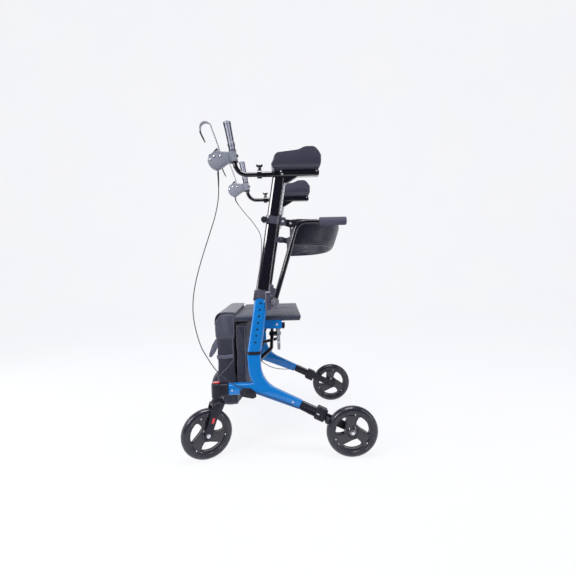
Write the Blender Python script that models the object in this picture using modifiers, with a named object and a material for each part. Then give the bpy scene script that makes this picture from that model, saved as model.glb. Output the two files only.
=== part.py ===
"""Upright walking frame on four wheels, with forearm rests, a folding seat and a bag.

Metres, +Z up. The frame travels along -X, so -X is its front and +X the side where the user stands.
The user's left is -Y. The origin lies on the floor at the middle of the outline.
"""
import math

import bmesh
import bpy
from mathutils import Matrix, Vector, geometry

# Clearances
SEAT_GAP = 0.0003
SLIDE_GAP = 0.0004
TURN_GAP = 0.0003

# Wheels and casters
WHEEL_RADIUS = 0.099
TYRE_WIDTH = 0.036
TYRE_DEPTH = 0.026
WEB_THICKNESS = 0.018
OPENING_OUTER = 0.0655
OPENING_INNER = 0.0290
OPENING_SPAN = 80.0
HUB_RADIUS = 0.019
HUB_WIDTH = 0.030
WHEEL_SIDES = 30
AXLE_RADIUS = 0.0045
REAR_AXLE_X = 0.2792
REAR_WHEEL_OUT = 0.039
SWIVEL_X = -0.2415
CASTER_TRAIL = 0.0445
CASTER_TURN = math.radians(25.0)
FORK_BLADE = 0.005
FORK_SIDE_GAP = 0.0035
FORK_EYE = 0.0150
CROWN_GAP = 0.0040
CROWN_HEIGHT = 0.0145
BEARING_RADIUS = 0.0230
BEARING_HEIGHT = 0.0165

# Side frames
POST_PLANE = 0.263
TUBE_WIDTH = 0.032
UPRIGHT_DEPTH = 0.050
BEND_RADIUS = 0.110
BEND_X = -0.0660
BEND_Z = 0.360
FRAME_TOP_Z = 0.402
LEG_SLOPE = math.radians(26.5)
LEG_DEPTH = 0.036
LEG_END = 0.218
HEAD_BOTTOM_Z = 2 * WHEEL_RADIUS + CROWN_GAP + CROWN_HEIGHT + BEARING_HEIGHT + SEAT_GAP
ARM_CLEARANCE = 0.0122
ARM_DEPTH = 0.0435
ARM_BOTTOM_Z = HEAD_BOTTOM_Z + ARM_CLEARANCE
ARM_TOP_Z = ARM_BOTTOM_Z + ARM_DEPTH
ARM_ROOT_X = -0.0880
HEAD_REACH = 0.0470
HEAD_RADIUS = 0.0205
HEAD_CAP = 0.0035
HEAD_TOP_Z = ARM_TOP_Z + HEAD_CAP
FRAME_ROUNDING = 0.008

# Posts, sleeves and their collars
LEAN = math.radians(9.5)
AXIS_X = -0.0700
AXIS_Z = 0.535
SLEEVE_DEPTH = 0.052
SLEEVE_CORNER = 0.0130
POST_DEPTH = 0.0450
POST_WIDTH = 0.0250
POST_CORNER = 0.0110
BAND_HEIGHT = 0.0120
SLEEVE_TOP_Z = 0.6180
COLLAR_HEIGHT = 0.0320
COLLAR_WALL = 0.0045
POST_BOTTOM_Z = 0.5200
HOLE_PITCH = 0.0254
HOLE_RADIUS = 0.0033
HOLE_COUNT = 7
FIRST_HOLE_Z = 0.4500

# Stand-assist handles at the sleeves
ASSIST_X = -0.0050
ASSIST_Z = 0.6040
ASSIST_EYE = 0.0135
ASSIST_EYE_WIDTH = 0.022
ASSIST_EAR = 0.0055
ASSIST_TUBE = 0.0092
ASSIST_BEND = 0.0450
ASSIST_CORNER_X = 0.0900
ASSIST_BAR_Z = 0.9070
ASSIST_END_X = 0.2760
ASSIST_GRIP = 0.0158
ASSIST_GRIP_LENGTH = 0.104
KNOB_RADIUS = 0.0140
KNOB_DEPTH = 0.0150
STUD_RADIUS = 0.0038

# Backrest
HINGE_Z = 0.9100
HINGE_DROP = 0.0320
HINGE_REACH = 0.0400
HINGE_INSET = 0.0060
LUG_WIDTH = 0.0120
LUG_HEIGHT = 0.0320
LUG_BOLT = 0.0040
MID_COLLAR_HEIGHT = 0.0290
COLLAR_KNOB_REACH = 0.0120
COLLAR_EAR_WIDTH = 0.0340
BACK_ARM_LENGTH = 0.0520
BACK_ARM_THICKNESS = 0.0050
BACK_START = 0.0200
BACK_DEPTH = 0.2280
BACK_HEIGHT = 0.1000
BACK_THICKNESS = 0.0240
BACK_Z = 0.8560
BACK_LEAN = 0.34

# Forearm rests
BAR_Z = 1.0878
BAR_RADIUS = 0.0090
BAR_SLEEVE = 0.0105
BAR_SLEEVE_FRONT_X = -0.0590
BAR_INNER_X = 0.0980
BAR_CLAMP = 0.0155
BAR_CLAMP_WIDTH = 0.0180
TRAY_FRONT_X = 0.0260
TRAY_LENGTH = 0.1480
TRAY_WIDTH = 0.0360
TRAY_HEIGHT = 0.0220
TRAY_TOP_Z = 1.0985
GUSSET_LENGTH = 0.0500
GUSSET_DEPTH = 0.0300
PAD_FRONT_X = -0.0020
PAD_LENGTH = 0.1800
PAD_HALF = 0.0490
PAD_WALL = 0.0180
PAD_RISE = 0.0640
PAD_SWELL = 0.0120
WING_SPAN = 0.0250
WING_HEIGHT = 0.0125

# Handlebars and brakes
HANDLE_BEND = 0.0450
HANDLE_CORNER_X = -0.1350
HANDLE_LEAN = math.radians(9.6)
GRIP_BOTTOM_Z = 1.1780
GRIP_LENGTH = 0.1080
GRIP_FOOT_RADIUS = 0.0125
GRIP_HEAD_RADIUS = 0.0150
CLAMP_FOOT_Z = 1.1370
CLAMP_RADIUS = 0.0140
HOUSING_WIDTH = 0.0280
LEVER_WIDTH = 0.0180
LEVER_STRIP = 0.0030
LEVER_PIVOT = (-0.2070, 1.1580)
LEVER_PIN = 0.0026
CABLE_RADIUS = 0.0025
FERRULE_RADIUS = 0.0042
FERRULE_BOTTOM_Z = 1.0980
BRAKE_PIVOT = 0.1340
BRAKE_GAP = 0.0016
BRAKE_SHOE = 0.0120
BRAKE_PLATE = 0.0040
BRACKET_DISTANCE = 0.1300
BRACKET_LENGTH = 0.0420
BRACKET_HEIGHT = 0.0520

# Cross brace, seat and bag
BRACE_RADIUS = 0.0080
BRACE_LOW_Z = 0.3350
FOOT_INSET = 0.0270
RAIL_INSET = 0.0380
BRACE_LOW_Y = POST_PLANE - FOOT_INSET
BRACE_HIGH_Y = POST_PLANE - RAIL_INSET
RAIL_Z = 0.5314
RAIL_RADIUS = 0.0085
BRACE_A_X = -0.0280
BRACE_B_X = 0.0000
BRACE_FOOT_X = -0.0900
BARREL_RADIUS = 0.0090
BARREL_LENGTH = 0.0240
PIVOT_EAR = 0.0040
PIVOT_PIN = 0.0040
SEAT_FRONT_X = -0.1650
SEAT_LENGTH = 0.2590
SEAT_OVERHANG = 0.0190
SEAT_HALF = BRACE_HIGH_Y + SEAT_OVERHANG
SEAT_THICKNESS = 0.0094
SADDLE_PLATE = 0.0040
SADDLE_TOP_Z = 0.5290
SADDLE_BOTTOM_Z = 0.4945
SHELF_DEPTH = 0.0100
SADDLE_REAR_X = 0.0190
BAG_FRONT_X = -0.2560
BAG_REAR_X = -0.1100
BAG_BOTTOM_Z = 0.1420
BAG_LID_Z = 0.5550
BAG_SIDE_GAP = 0.0115
BAG_HALF = BRACE_HIGH_Y - RAIL_RADIUS - BAG_SIDE_GAP
BAG_FOOT_HALF = 0.1130
BAG_WAIST_Z = 0.2030

SIDES = {"left": -1, "right": 1}
SIDE_VIEW = Matrix.Rotation(math.radians(90.0), 4, "X")
ALONG_X = Matrix.Rotation(math.radians(90.0), 4, "Y")

BLUE = (0.02, 0.22, 0.65)
BLACK_GLOSS = (0.010, 0.010, 0.014)
BLACK_PLASTIC = (0.030, 0.031, 0.036)
GREY_CAST = (0.20, 0.21, 0.25)
SILVER = (0.55, 0.56, 0.58)
LEATHERETTE = (0.035, 0.035, 0.045)

# The cables hang between their housings. Each point is X, the distance outboard of the post plane, and Z.
CABLE_ROUTES = {
    "left": [
        (-0.2065, 0.0000, 1.0976), (-0.2060, 0.0005, 1.0600), (-0.2090, 0.0020, 1.0000),
        (-0.2230, 0.0040, 0.9350), (-0.2450, 0.0060, 0.8700), (-0.2800, 0.0080, 0.7700),
        (-0.3060, 0.0100, 0.6800), (-0.3180, 0.0120, 0.6000), (-0.3140, 0.0150, 0.5280),
        (-0.2940, 0.0190, 0.4470), (-0.2660, 0.0230, 0.3930), (-0.2360, 0.0250, 0.3480),
        (-0.1990, 0.0230, 0.3110), (-0.1620, 0.0200, 0.2840), (-0.1200, 0.0195, 0.2670),
        (-0.0700, 0.0195, 0.2480), (-0.0200, 0.0195, 0.2290), (0.0300, 0.0195, 0.2090),
        (0.0800, 0.0195, 0.1860), (0.1100, 0.0195, 0.1712),
    ],
    "right": [
        (-0.2065, 0.0000, 1.0976), (-0.2000, 0.0010, 1.0780), (-0.1630, 0.0040, 1.0260),
        (-0.1190, 0.0070, 0.9720), (-0.0820, 0.0090, 0.9050), (-0.0800, 0.0090, 0.8200),
        (-0.0920, 0.0090, 0.7300), (-0.1120, 0.0100, 0.6300), (-0.1290, 0.0120, 0.5300),
        (-0.1420, 0.0170, 0.4400), (-0.1450, 0.0210, 0.3600), (-0.1330, 0.0220, 0.2950),
        (-0.1100, 0.0210, 0.2450), (-0.0760, 0.0200, 0.2150), (-0.0380, 0.0195, 0.1950),
        (0.0100, 0.0195, 0.1850), (0.0550, 0.0195, 0.1830), (0.0850, 0.0195, 0.1812),
        (0.1100, 0.0195, 0.1712),
    ],
}
CABLE_END_X = 0.1100
CABLE_OUT = 0.0195

PARTS = None
CUTTERS = None


def clear_scene():
    """Remove what the start-up scene holds, and make the two collections."""
    global PARTS, CUTTERS
    for obj in list(bpy.data.objects):
        bpy.data.objects.remove(obj, do_unlink=True)
    PARTS = bpy.data.collections.new("upright_rollator")
    CUTTERS = bpy.data.collections.new("cutters")
    for group in (PARTS, CUTTERS):
        bpy.context.scene.collection.children.link(group)


def finish_of(name, colour, roughness, metallic=0.0):
    """Return the Principled material of one sub-part."""
    material = bpy.data.materials.new(name + "_finish")
    material.use_nodes = True
    shader = material.node_tree.nodes["Principled BSDF"]
    shader.inputs["Base Color"].default_value = (*colour, 1.0)
    shader.inputs["Roughness"].default_value = roughness
    shader.inputs["Metallic"].default_value = metallic
    return material


def new_object(name, data, matrix):
    """Link an object that holds the data at the given world matrix."""
    obj = bpy.data.objects.new(name, data)
    obj.matrix_world = matrix
    PARTS.objects.link(obj)
    return obj


def dress(obj, colour, roughness, metallic=0.0):
    """Give a finished piece its own material and smooth shading with sharp edges kept."""
    if obj.type == "MESH":
        obj.data.shade_smooth()
        obj.data.set_sharp_from_angle(angle=math.radians(40.0))
    obj.data.materials.append(finish_of(obj.name, colour, roughness, metallic))
    return obj


def at(x, y, z, turn=None):
    """Return the matrix that turns a shape and then moves it to a point."""
    place = Matrix.Translation((x, y, z))
    return place @ turn if turn is not None else place


def out(side, distance):
    """Return the world Y that lies a distance outboard of one side's post plane."""
    return SIDES[side] * (POST_PLANE + distance)


def axis_x(height):
    """Return the X of the leaning post axis at a height."""
    return AXIS_X + (height - AXIS_Z) * math.tan(LEAN)


def on_post(side, height):
    """Return the matrix of the leaning frame on a post axis, with local Z along the post."""
    return at(axis_x(height), out(side, 0.0), height, Matrix.Rotation(LEAN, 4, "Y"))


def arc(centre, radius, start, end, steps):
    """Return points on an arc between two angles in degrees."""
    angles = [math.radians(start + (end - start) * i / steps) for i in range(steps + 1)]
    return [(centre[0] + radius * math.cos(a), centre[1] + radius * math.sin(a)) for a in angles]


def circle(radius, steps, centre=(0.0, 0.0)):
    """Return a closed ring of points."""
    return arc(centre, radius, 0.0, 360.0, steps)[:-1]


def rounded_rectangle(width, depth, corner, steps=3):
    """Return a rectangle outline whose corners are arcs."""
    x, y = width / 2 - corner, depth / 2 - corner
    points = []
    for centre, start in (((x, y), 0), ((-x, y), 90), ((-x, -y), 180), ((x, -y), 270)):
        points += arc(centre, corner, start, start + 90, steps)
    return points


def fillet(points, radius, steps=6):
    """Return the points of a path with each inner corner turned into an arc of the radius."""
    path = [Vector(points[0])]
    for before, corner, after in zip(points, points[1:], points[2:]):
        corner = Vector(corner)
        first, second = (Vector(before) - corner).normalized(), (Vector(after) - corner).normalized()
        half = first.angle(second) / 2
        reach = radius / math.tan(half)
        middle = corner + (first + second).normalized() * (radius / math.sin(half))
        start, end = corner + first * reach - middle, corner + second * reach - middle
        for i in range(steps + 1):
            path.append(middle + start.slerp(end, i / steps).normalized() * radius)
    path.append(Vector(points[-1]))
    return path


def smooth_path(points, per_span=3):
    """Return points on the Catmull-Rom curve through the given points."""
    knots = [Vector(p) for p in points]
    knots = [2 * knots[0] - knots[1]] + knots + [2 * knots[-1] - knots[-2]]
    path = []
    for a, b, c, d in zip(knots, knots[1:], knots[2:], knots[3:]):
        for i in range(per_span):
            t = i / per_span
            path.append(0.5 * (2 * b + (c - a) * t + (2 * a - 5 * b + 4 * c - d) * t * t
                               + (3 * b - a - 3 * c + d) * t ** 3))
    path.append(knots[-2])
    return path


def sheet_piece(name, loops, thickness, matrix, rounding=0.0, steps=1):
    """Return a curve object: flat closed outlines, filled and thickened about their plane."""
    curve = bpy.data.curves.new(name, "CURVE")
    curve.dimensions = "2D"
    curve.fill_mode = "BOTH"
    curve.extrude = thickness / 2 - rounding
    if rounding:
        curve.bevel_depth = rounding
        curve.bevel_resolution = steps
        curve.offset = -rounding
    for loop in loops:
        spline = curve.splines.new("POLY")
        spline.points.add(len(loop) - 1)
        for point, (x, y) in zip(spline.points, loop):
            point.co = (x, y, 0.0, 1.0)
        spline.use_cyclic_u = True
    return new_object(name, curve, matrix)


def tube_piece(name, path, radius, resolution=3):
    """Return a curve object: a round tube with closed ends along a path in world space."""
    curve = bpy.data.curves.new(name, "CURVE")
    curve.dimensions = "3D"
    curve.bevel_depth = radius
    curve.bevel_resolution = resolution
    curve.use_fill_caps = True
    spline = curve.splines.new("POLY")
    spline.points.add(len(path) - 1)
    for point, place in zip(spline.points, path):
        point.co = (*place, 1.0)
    return new_object(name, curve, Matrix.Identity(4))


def as_mesh(curve_object):
    """Replace a curve object by the mesh that it makes, with its caps welded on."""
    bpy.context.view_layer.update()
    evaluated = curve_object.evaluated_get(bpy.context.evaluated_depsgraph_get())
    mesh = bpy.data.meshes.new_from_object(evaluated)
    shape = bmesh.new()
    shape.from_mesh(mesh)
    bmesh.ops.remove_doubles(shape, verts=shape.verts, dist=0.00001)
    shape.to_mesh(mesh)
    shape.free()
    name, matrix = curve_object.name, curve_object.matrix_world.copy()
    bpy.data.objects.remove(curve_object, do_unlink=True)
    return new_object(name, mesh, matrix)


def turned_piece(name, profile, steps, matrix, closed=False):
    """Return a mesh turned about local Z from a profile of (radius, height) points.

    The profile runs down its outer side. An open one starts and ends on the axis.
    """
    mesh = bpy.data.meshes.new(name)
    count = len(profile)
    edges = [(i, i + 1) for i in range(count - 1)]
    if closed:
        edges.append((count - 1, 0))
    mesh.from_pydata([(r, 0.0, z) for r, z in profile], edges, [])
    obj = new_object(name, mesh, matrix)
    screw = obj.modifiers.new("Turn", "SCREW")
    screw.steps = screw.render_steps = steps
    screw.use_merge_vertices = True
    screw.merge_threshold = 0.00001
    return obj


def block_piece(name, size, matrix, rounding=0.0, segments=1):
    """Return a box with rounded edges, centred on the matrix."""
    mesh = bpy.data.meshes.new(name)
    shape = bmesh.new()
    bmesh.ops.create_cube(shape, size=1.0, matrix=Matrix.Diagonal((*size, 1.0)))
    shape.to_mesh(mesh)
    shape.free()
    obj = new_object(name, mesh, matrix)
    if rounding:
        bevel = obj.modifiers.new("Round", "BEVEL")
        bevel.width = rounding
        bevel.segments = segments
    return obj


def rod_piece(name, radius, length, matrix, sides=18):
    """Return a cylinder along local Z, centred on the matrix."""
    mesh = bpy.data.meshes.new(name)
    shape = bmesh.new()
    bmesh.ops.create_cone(shape, cap_ends=True, segments=sides, radius1=radius, radius2=radius,
                          depth=length)
    shape.to_mesh(mesh)
    shape.free()
    return new_object(name, mesh, matrix)


def loft_piece(name, sections):
    """Return a closed mesh through rings of world points that have the same count."""
    mesh = bpy.data.meshes.new(name)
    shape = bmesh.new()
    rings = [[shape.verts.new(p) for p in section] for section in sections]
    count = len(rings[0])
    for low, high in zip(rings, rings[1:]):
        for i in range(count):
            j = (i + 1) % count
            shape.faces.new((low[i], low[j], high[j], high[i]))
    shape.faces.new(rings[0])
    shape.faces.new(rings[-1])
    bmesh.ops.recalc_face_normals(shape, faces=shape.faces)
    shape.to_mesh(mesh)
    shape.free()
    return new_object(name, mesh, Matrix.Identity(4))


def combine(target, tool, operation):
    """Join a tool to a piece, or cut it out, with a Boolean modifier."""
    modifier = target.modifiers.new(tool.name, "BOOLEAN")
    modifier.operation = operation
    modifier.solver = "EXACT"
    modifier.object = tool
    tool.hide_render = True
    tool.display_type = "WIRE"
    PARTS.objects.unlink(tool)
    CUTTERS.objects.link(tool)
    return target


def fuse(target, *tools):
    """Weld further shapes onto a piece."""
    for tool in tools:
        combine(target, tool, "UNION")
    return target


def cut(target, *tools):
    """Cut shapes out of a piece."""
    for tool in tools:
        combine(target, tool, "DIFFERENCE")
    return target


def bar_section(name, side, depth, width, corner, low, high, bore=None):
    """Return a leaning bar of rounded section between two heights, solid or with a bore."""
    loops = [rounded_rectangle(depth, width, corner)]
    if bore:
        loops.append(rounded_rectangle(*bore))
    length = (high - low) / math.cos(LEAN)
    return sheet_piece(name, loops, length, on_post(side, (low + high) / 2))


def level_cutter(name, side, height, above):
    """Return a block that trims a leaning bar level, above or below a height."""
    reach = 0.040
    middle = height + (reach / 2 if above else -reach / 2)
    return block_piece(name, (0.120, 0.080, reach), at(axis_x(height), out(side, 0), middle))


def post_bore(gap):
    """Return width, depth and corner of the bore that the post slides in."""
    return (POST_DEPTH + 2 * gap, POST_WIDTH + 2 * gap, POST_CORNER + gap)


def leg_point(distance, offset=0.0):
    """Return X, Z at a distance from the rear axle up the leg, and an offset above its centre."""
    x = REAR_AXLE_X - distance * math.cos(LEG_SLOPE) + offset * math.sin(LEG_SLOPE)
    z = WHEEL_RADIUS + distance * math.sin(LEG_SLOPE) + offset * math.cos(LEG_SLOPE)
    return x, z


def frame_outline():
    """Return the side view of the frame: front arm, curved upright and rear leg."""
    centre = (BEND_X + BEND_RADIUS, BEND_Z)
    outer = BEND_RADIUS + UPRIGHT_DEPTH
    crotch = 180 + math.degrees(math.asin((BEND_Z - ARM_TOP_Z) / outer))
    half = UPRIGHT_DEPTH / 2 + 0.001
    top = axis_x(FRAME_TOP_Z)
    inner_end = 270 - math.degrees(LEG_SLOPE)
    points = [(SWIVEL_X + HEAD_REACH, ARM_TOP_Z - 0.001)]
    points += arc(centre, outer, crotch, 180, 5)
    points += [(top - half, FRAME_TOP_Z), (top + half, FRAME_TOP_Z)]
    points += arc(centre, BEND_RADIUS, 180, inner_end, 8)
    points += [leg_point(LEG_END, LEG_DEPTH / 2), leg_point(LEG_END, -LEG_DEPTH / 2)]
    points += [(ARM_ROOT_X, ARM_BOTTOM_Z), (SWIVEL_X + HEAD_REACH, ARM_BOTTOM_Z)]
    return points


def build_frame(side):
    """Blue side frame with the ears of the cross brace's lower pivot."""
    name = side + "_frame"
    frame = as_mesh(sheet_piece(name, [frame_outline()], TUBE_WIDTH, at(0, out(side, 0), 0, SIDE_VIEW),
                                FRAME_ROUNDING, 2))
    s = SIDES[side]
    inner = out(side, -TUBE_WIDTH / 2)
    y = s * BRACE_LOW_Y
    reach = BARREL_LENGTH / 2 + SEAT_GAP + PIVOT_EAR
    for end in (-1, 1):
        x = BRACE_FOOT_X + end * (reach - PIVOT_EAR / 2)
        ear = block_piece(f"{name}_ear_{end}", (PIVOT_EAR, abs(inner - y) + 0.014, 0.018),
                          at(x, (inner + y) / 2 + s * 0.001, BRACE_LOW_Z))
        fuse(frame, ear)
    pin = rod_piece(name + "_pin", PIVOT_PIN, 2 * reach - PIVOT_EAR, at(BRACE_FOOT_X, y, BRACE_LOW_Z, ALONG_X), 12)
    fuse(frame, pin)
    return dress(frame, BLUE, 0.35)


def build_sleeve(side):
    """Blue upper tube with its seven holes, and the saddle that carries the seat rail."""
    name = side + "_sleeve"
    low = FRAME_TOP_Z + BAND_HEIGHT
    sleeve = as_mesh(bar_section(name, side, SLEEVE_DEPTH, TUBE_WIDTH, SLEEVE_CORNER, low - 0.008, SLEEVE_TOP_Z,
                                 post_bore(SLIDE_GAP)))
    cut(sleeve, level_cutter(name + "_foot", side, low, False))
    s = SIDES[side]
    cheek_y = s * (BRACE_HIGH_Y + RAIL_RADIUS + 0.0005 + SADDLE_PLATE / 2)
    front = axis_x(RAIL_Z) - SLEEVE_DEPTH / 2
    cheek = block_piece(name + "_cheek", (SADDLE_REAR_X - front, SADDLE_PLATE, SADDLE_TOP_Z - SADDLE_BOTTOM_Z),
                        at((SADDLE_REAR_X + front) / 2, cheek_y, (SADDLE_TOP_Z + SADDLE_BOTTOM_Z) / 2))
    wall = out(side, -TUBE_WIDTH / 2 + 0.002)
    shelf_top = RAIL_Z - RAIL_RADIUS - SEAT_GAP
    shelf_length = SLEEVE_DEPTH - 0.008
    web = block_piece(name + "_web", (shelf_length - 0.012, abs(wall - cheek_y), SADDLE_TOP_Z - SADDLE_BOTTOM_Z - 0.002),
                      at(axis_x(RAIL_Z), (wall + cheek_y) / 2, (SADDLE_TOP_Z + SADDLE_BOTTOM_Z) / 2))
    shelf_in = s * (BRACE_HIGH_Y - 0.004)
    shelf = block_piece(name + "_shelf", (shelf_length, abs(cheek_y - shelf_in), SHELF_DEPTH),
                        at(axis_x(RAIL_Z), (cheek_y + shelf_in) / 2, shelf_top - SHELF_DEPTH / 2))
    fuse(sleeve, cheek, web, shelf)
    for i in range(HOLE_COUNT):
        height = FIRST_HOLE_Z + i * HOLE_PITCH * math.cos(LEAN)
        drill = rod_piece(f"{name}_drill_{i}", HOLE_RADIUS, TUBE_WIDTH,
                          at(axis_x(height), out(side, TUBE_WIDTH / 2), height, SIDE_VIEW), 8)
        cut(sleeve, drill)
    return dress(sleeve, BLUE, 0.35)


def build_band(side):
    """Dark spacer band between the curved frame and the sleeve."""
    middle = FRAME_TOP_Z + BAND_HEIGHT / 2
    outline = rounded_rectangle(SLEEVE_DEPTH + 0.003, TUBE_WIDTH + 0.003, SLEEVE_CORNER)
    band = sheet_piece(side + "_band", [outline], BAND_HEIGHT - 2 * SEAT_GAP, at(axis_x(middle), out(side, 0), middle))
    return dress(band, BLACK_PLASTIC, 0.5)


def build_collar(side):
    """Grey clamp collar on top of the sleeve, round the post."""
    low = SLEEVE_TOP_Z + SEAT_GAP
    collar = bar_section(side + "_collar", side, POST_DEPTH + 2 * COLLAR_WALL, POST_WIDTH + 2 * COLLAR_WALL,
                         SLEEVE_CORNER + 0.002, low, low + COLLAR_HEIGHT, post_bore(SLIDE_GAP))
    return dress(collar, GREY_CAST, 0.45)


def build_post(side):
    """Black height-adjusting post of oval section, cut level under the tray."""
    name = side + "_post"
    top = TRAY_TOP_Z - TRAY_HEIGHT
    post = as_mesh(bar_section(name, side, POST_DEPTH, POST_WIDTH, POST_CORNER, POST_BOTTOM_Z, top + 0.010))
    cut(post, level_cutter(name + "_head", side, top - SEAT_GAP, True))
    return dress(post, BLACK_GLOSS, 0.2)


def hinge_height(side):
    """Return the height of the backrest bolt on one post."""
    return HINGE_Z - (HINGE_DROP if side == "right" else 0.0)


def build_mid_collar(side):
    """Collar that carries the backrest: a split ring, a lug with its bolt, and clamp ears."""
    name = side + "_mid_collar"
    z = hinge_height(side)
    half = MID_COLLAR_HEIGHT * math.cos(LEAN) / 2
    middle = z + 0.006
    ring = as_mesh(bar_section(name, side, POST_DEPTH + 2 * COLLAR_WALL, POST_WIDTH + 2 * COLLAR_WALL,
                               SLEEVE_CORNER + 0.002, middle - half, middle + half))
    bolt_x = axis_x(z) + HINGE_REACH
    wall = axis_x(z) + POST_DEPTH / 2 + 0.003
    hinge, inboard = hinge_place(side), -SIDES[side]
    lug = block_piece(name + "_lug", (bolt_x + 0.012 - wall, LUG_WIDTH, LUG_HEIGHT),
                      hinge @ at((0.012 + wall - bolt_x) / 2, 0, 0), 0.003)
    stem = LUG_WIDTH / 2 + BACK_ARM_THICKNESS + 2 * SEAT_GAP
    bolt = rod_piece(name + "_bolt", LUG_BOLT, stem + 0.002, hinge @ at(0, inboard * (stem + 0.002) / 2, 0, SIDE_VIEW), 12)
    head = rod_piece(name + "_bolt_head", 2 * LUG_BOLT, 0.003, hinge @ at(0, inboard * (stem + 0.0015), 0, SIDE_VIEW), 12)
    ear_x = axis_x(middle) - POST_DEPTH / 2 - COLLAR_KNOB_REACH / 2
    ears = block_piece(name + "_ears", (COLLAR_KNOB_REACH + 0.006, COLLAR_EAR_WIDTH, 0.020), at(ear_x - 0.001, out(side, 0), middle), 0.002)
    fuse(ring, lug, bolt, head, ears)
    bore = rod_piece(name + "_bore", STUD_RADIUS + TURN_GAP, 0.05,
                     at(collar_knob_x(side), out(side, 0), middle, SIDE_VIEW), 12)
    passage = bar_section(name + "_passage", side, *post_bore(SLIDE_GAP), middle - 0.04, middle + 0.04)
    cut(ring, bore, as_mesh(passage))
    return dress(ring, GREY_CAST, 0.45)


def collar_knob_x(side):
    """Return the X of the middle collar's knob axis."""
    return axis_x(hinge_height(side) + 0.006) - POST_DEPTH / 2 - COLLAR_KNOB_REACH + 0.0035


def knob_profile(radius, depth, stud, reach):
    """Return the profile of a round knob whose stud points down local Z."""
    return [(0.0, depth), (radius * 0.80, depth), (radius, depth * 0.78), (radius, depth * 0.20),
            (radius * 0.72, 0.0), (stud, 0.0), (stud, -reach), (0.0, -reach)]


def outward(side):
    """Return the turn that points local Z outboard."""
    return Matrix.Rotation(-SIDES[side] * math.radians(90.0), 4, "X")


def build_collar_knob(side):
    """Round black knob of the middle collar."""
    name = side + "_collar_knob"
    z = hinge_height(side) + 0.006
    face = COLLAR_EAR_WIDTH / 2 + SEAT_GAP
    place = at(collar_knob_x(side), out(side, face), z, outward(side))
    knob = turned_piece(name, knob_profile(0.0125, 0.0120, STUD_RADIUS, COLLAR_EAR_WIDTH + 0.002), 16, place)
    return dress(knob, BLACK_PLASTIC, 0.45)


def build_clamp(side):
    """Cast bracket behind the sleeve with the two ears of the stand-assist handle."""
    name = side + "_clamp"
    top = SLEEVE_TOP_Z + COLLAR_HEIGHT - 0.006
    bottom = ASSIST_Z - 0.032
    rear = ASSIST_X - ASSIST_EYE - 0.001
    front = rear - 0.022
    clamp = block_piece(name, (rear - front, 0.040, top - bottom), at((rear + front) / 2, out(side, 0), (top + bottom) / 2), 0.003)
    for end in (-1, 1):
        y = out(side, end * (ASSIST_EYE_WIDTH / 2 + TURN_GAP + ASSIST_EAR / 2))
        outline = [(rear - 0.004, ASSIST_Z - 0.022), (ASSIST_X, ASSIST_Z - ASSIST_EYE - 0.002)]
        outline += arc((ASSIST_X, ASSIST_Z), ASSIST_EYE + 0.002, -75, 75, 8)
        outline += [(rear - 0.004, ASSIST_Z + 0.024)]
        fuse(clamp, as_mesh(sheet_piece(f"{name}_ear_{end}", [outline], ASSIST_EAR, at(0, y, 0, SIDE_VIEW))))
    width, depth = POST_DEPTH + 2 * COLLAR_WALL, POST_WIDTH + 2 * COLLAR_WALL
    space = as_mesh(bar_section(name + "_space", side, max(width, SLEEVE_DEPTH) + 2 * SEAT_GAP,
                                max(depth, TUBE_WIDTH) + 2 * SEAT_GAP, SLEEVE_CORNER + 0.002, bottom - 0.03, top + 0.03))
    bore = rod_piece(name + "_bore", STUD_RADIUS + TURN_GAP, 0.06, at(ASSIST_X, out(side, 0), ASSIST_Z, SIDE_VIEW), 16)
    cut(clamp, space, bore)
    return dress(clamp, GREY_CAST, 0.45)


def build_assist_tube(side):
    """Black tube of the stand-assist handle, from its eye up and then rearwards."""
    name = side + "_assist_tube"
    y = out(side, 0)
    end_x = ASSIST_END_X - 0.004
    path = fillet([(ASSIST_X, y, ASSIST_Z), (ASSIST_CORNER_X, y, ASSIST_BAR_Z), (end_x, y, ASSIST_BAR_Z)], ASSIST_BEND)
    tube = as_mesh(tube_piece(name, path, ASSIST_TUBE))
    eye = rod_piece(name + "_eye", ASSIST_EYE, ASSIST_EYE_WIDTH, at(ASSIST_X, y, ASSIST_Z, SIDE_VIEW))
    bore = rod_piece(name + "_bore", STUD_RADIUS + TURN_GAP, 0.05, at(ASSIST_X, y, ASSIST_Z, SIDE_VIEW), 16)
    cut(fuse(tube, eye), bore)
    return dress(tube, BLACK_GLOSS, 0.25)


def build_assist_grip(side):
    """Foam grip on the end of the stand-assist handle."""
    inner, outer = ASSIST_TUBE + SEAT_GAP, ASSIST_GRIP
    length = ASSIST_GRIP_LENGTH
    floor = length - 0.004 + SEAT_GAP
    profile = [(0.0, length), (outer - 0.004, length), (outer, length - 0.004), (outer, 0.003),
               (outer - 0.003, 0.0), (inner, 0.0), (inner, floor), (0.0, floor)]
    place = at(ASSIST_END_X - length, out(side, 0), ASSIST_BAR_Z, ALONG_X)
    grip = turned_piece(side + "_assist_grip", profile, 20, place)
    return dress(grip, (0.075, 0.075, 0.095), 0.9)


def build_assist_knob(side):
    """Knob that tightens the stand-assist handle, with its stud through the ears."""
    reach = ASSIST_EYE_WIDTH + 2 * TURN_GAP + 2 * ASSIST_EAR + 0.001
    face = ASSIST_EYE_WIDTH / 2 + TURN_GAP + ASSIST_EAR + SEAT_GAP
    place = at(ASSIST_X, out(side, face), ASSIST_Z, outward(side))
    knob = turned_piece(side + "_assist_knob", knob_profile(KNOB_RADIUS, KNOB_DEPTH, STUD_RADIUS, reach), 16, place)
    return dress(knob, BLACK_PLASTIC, 0.45)


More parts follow.
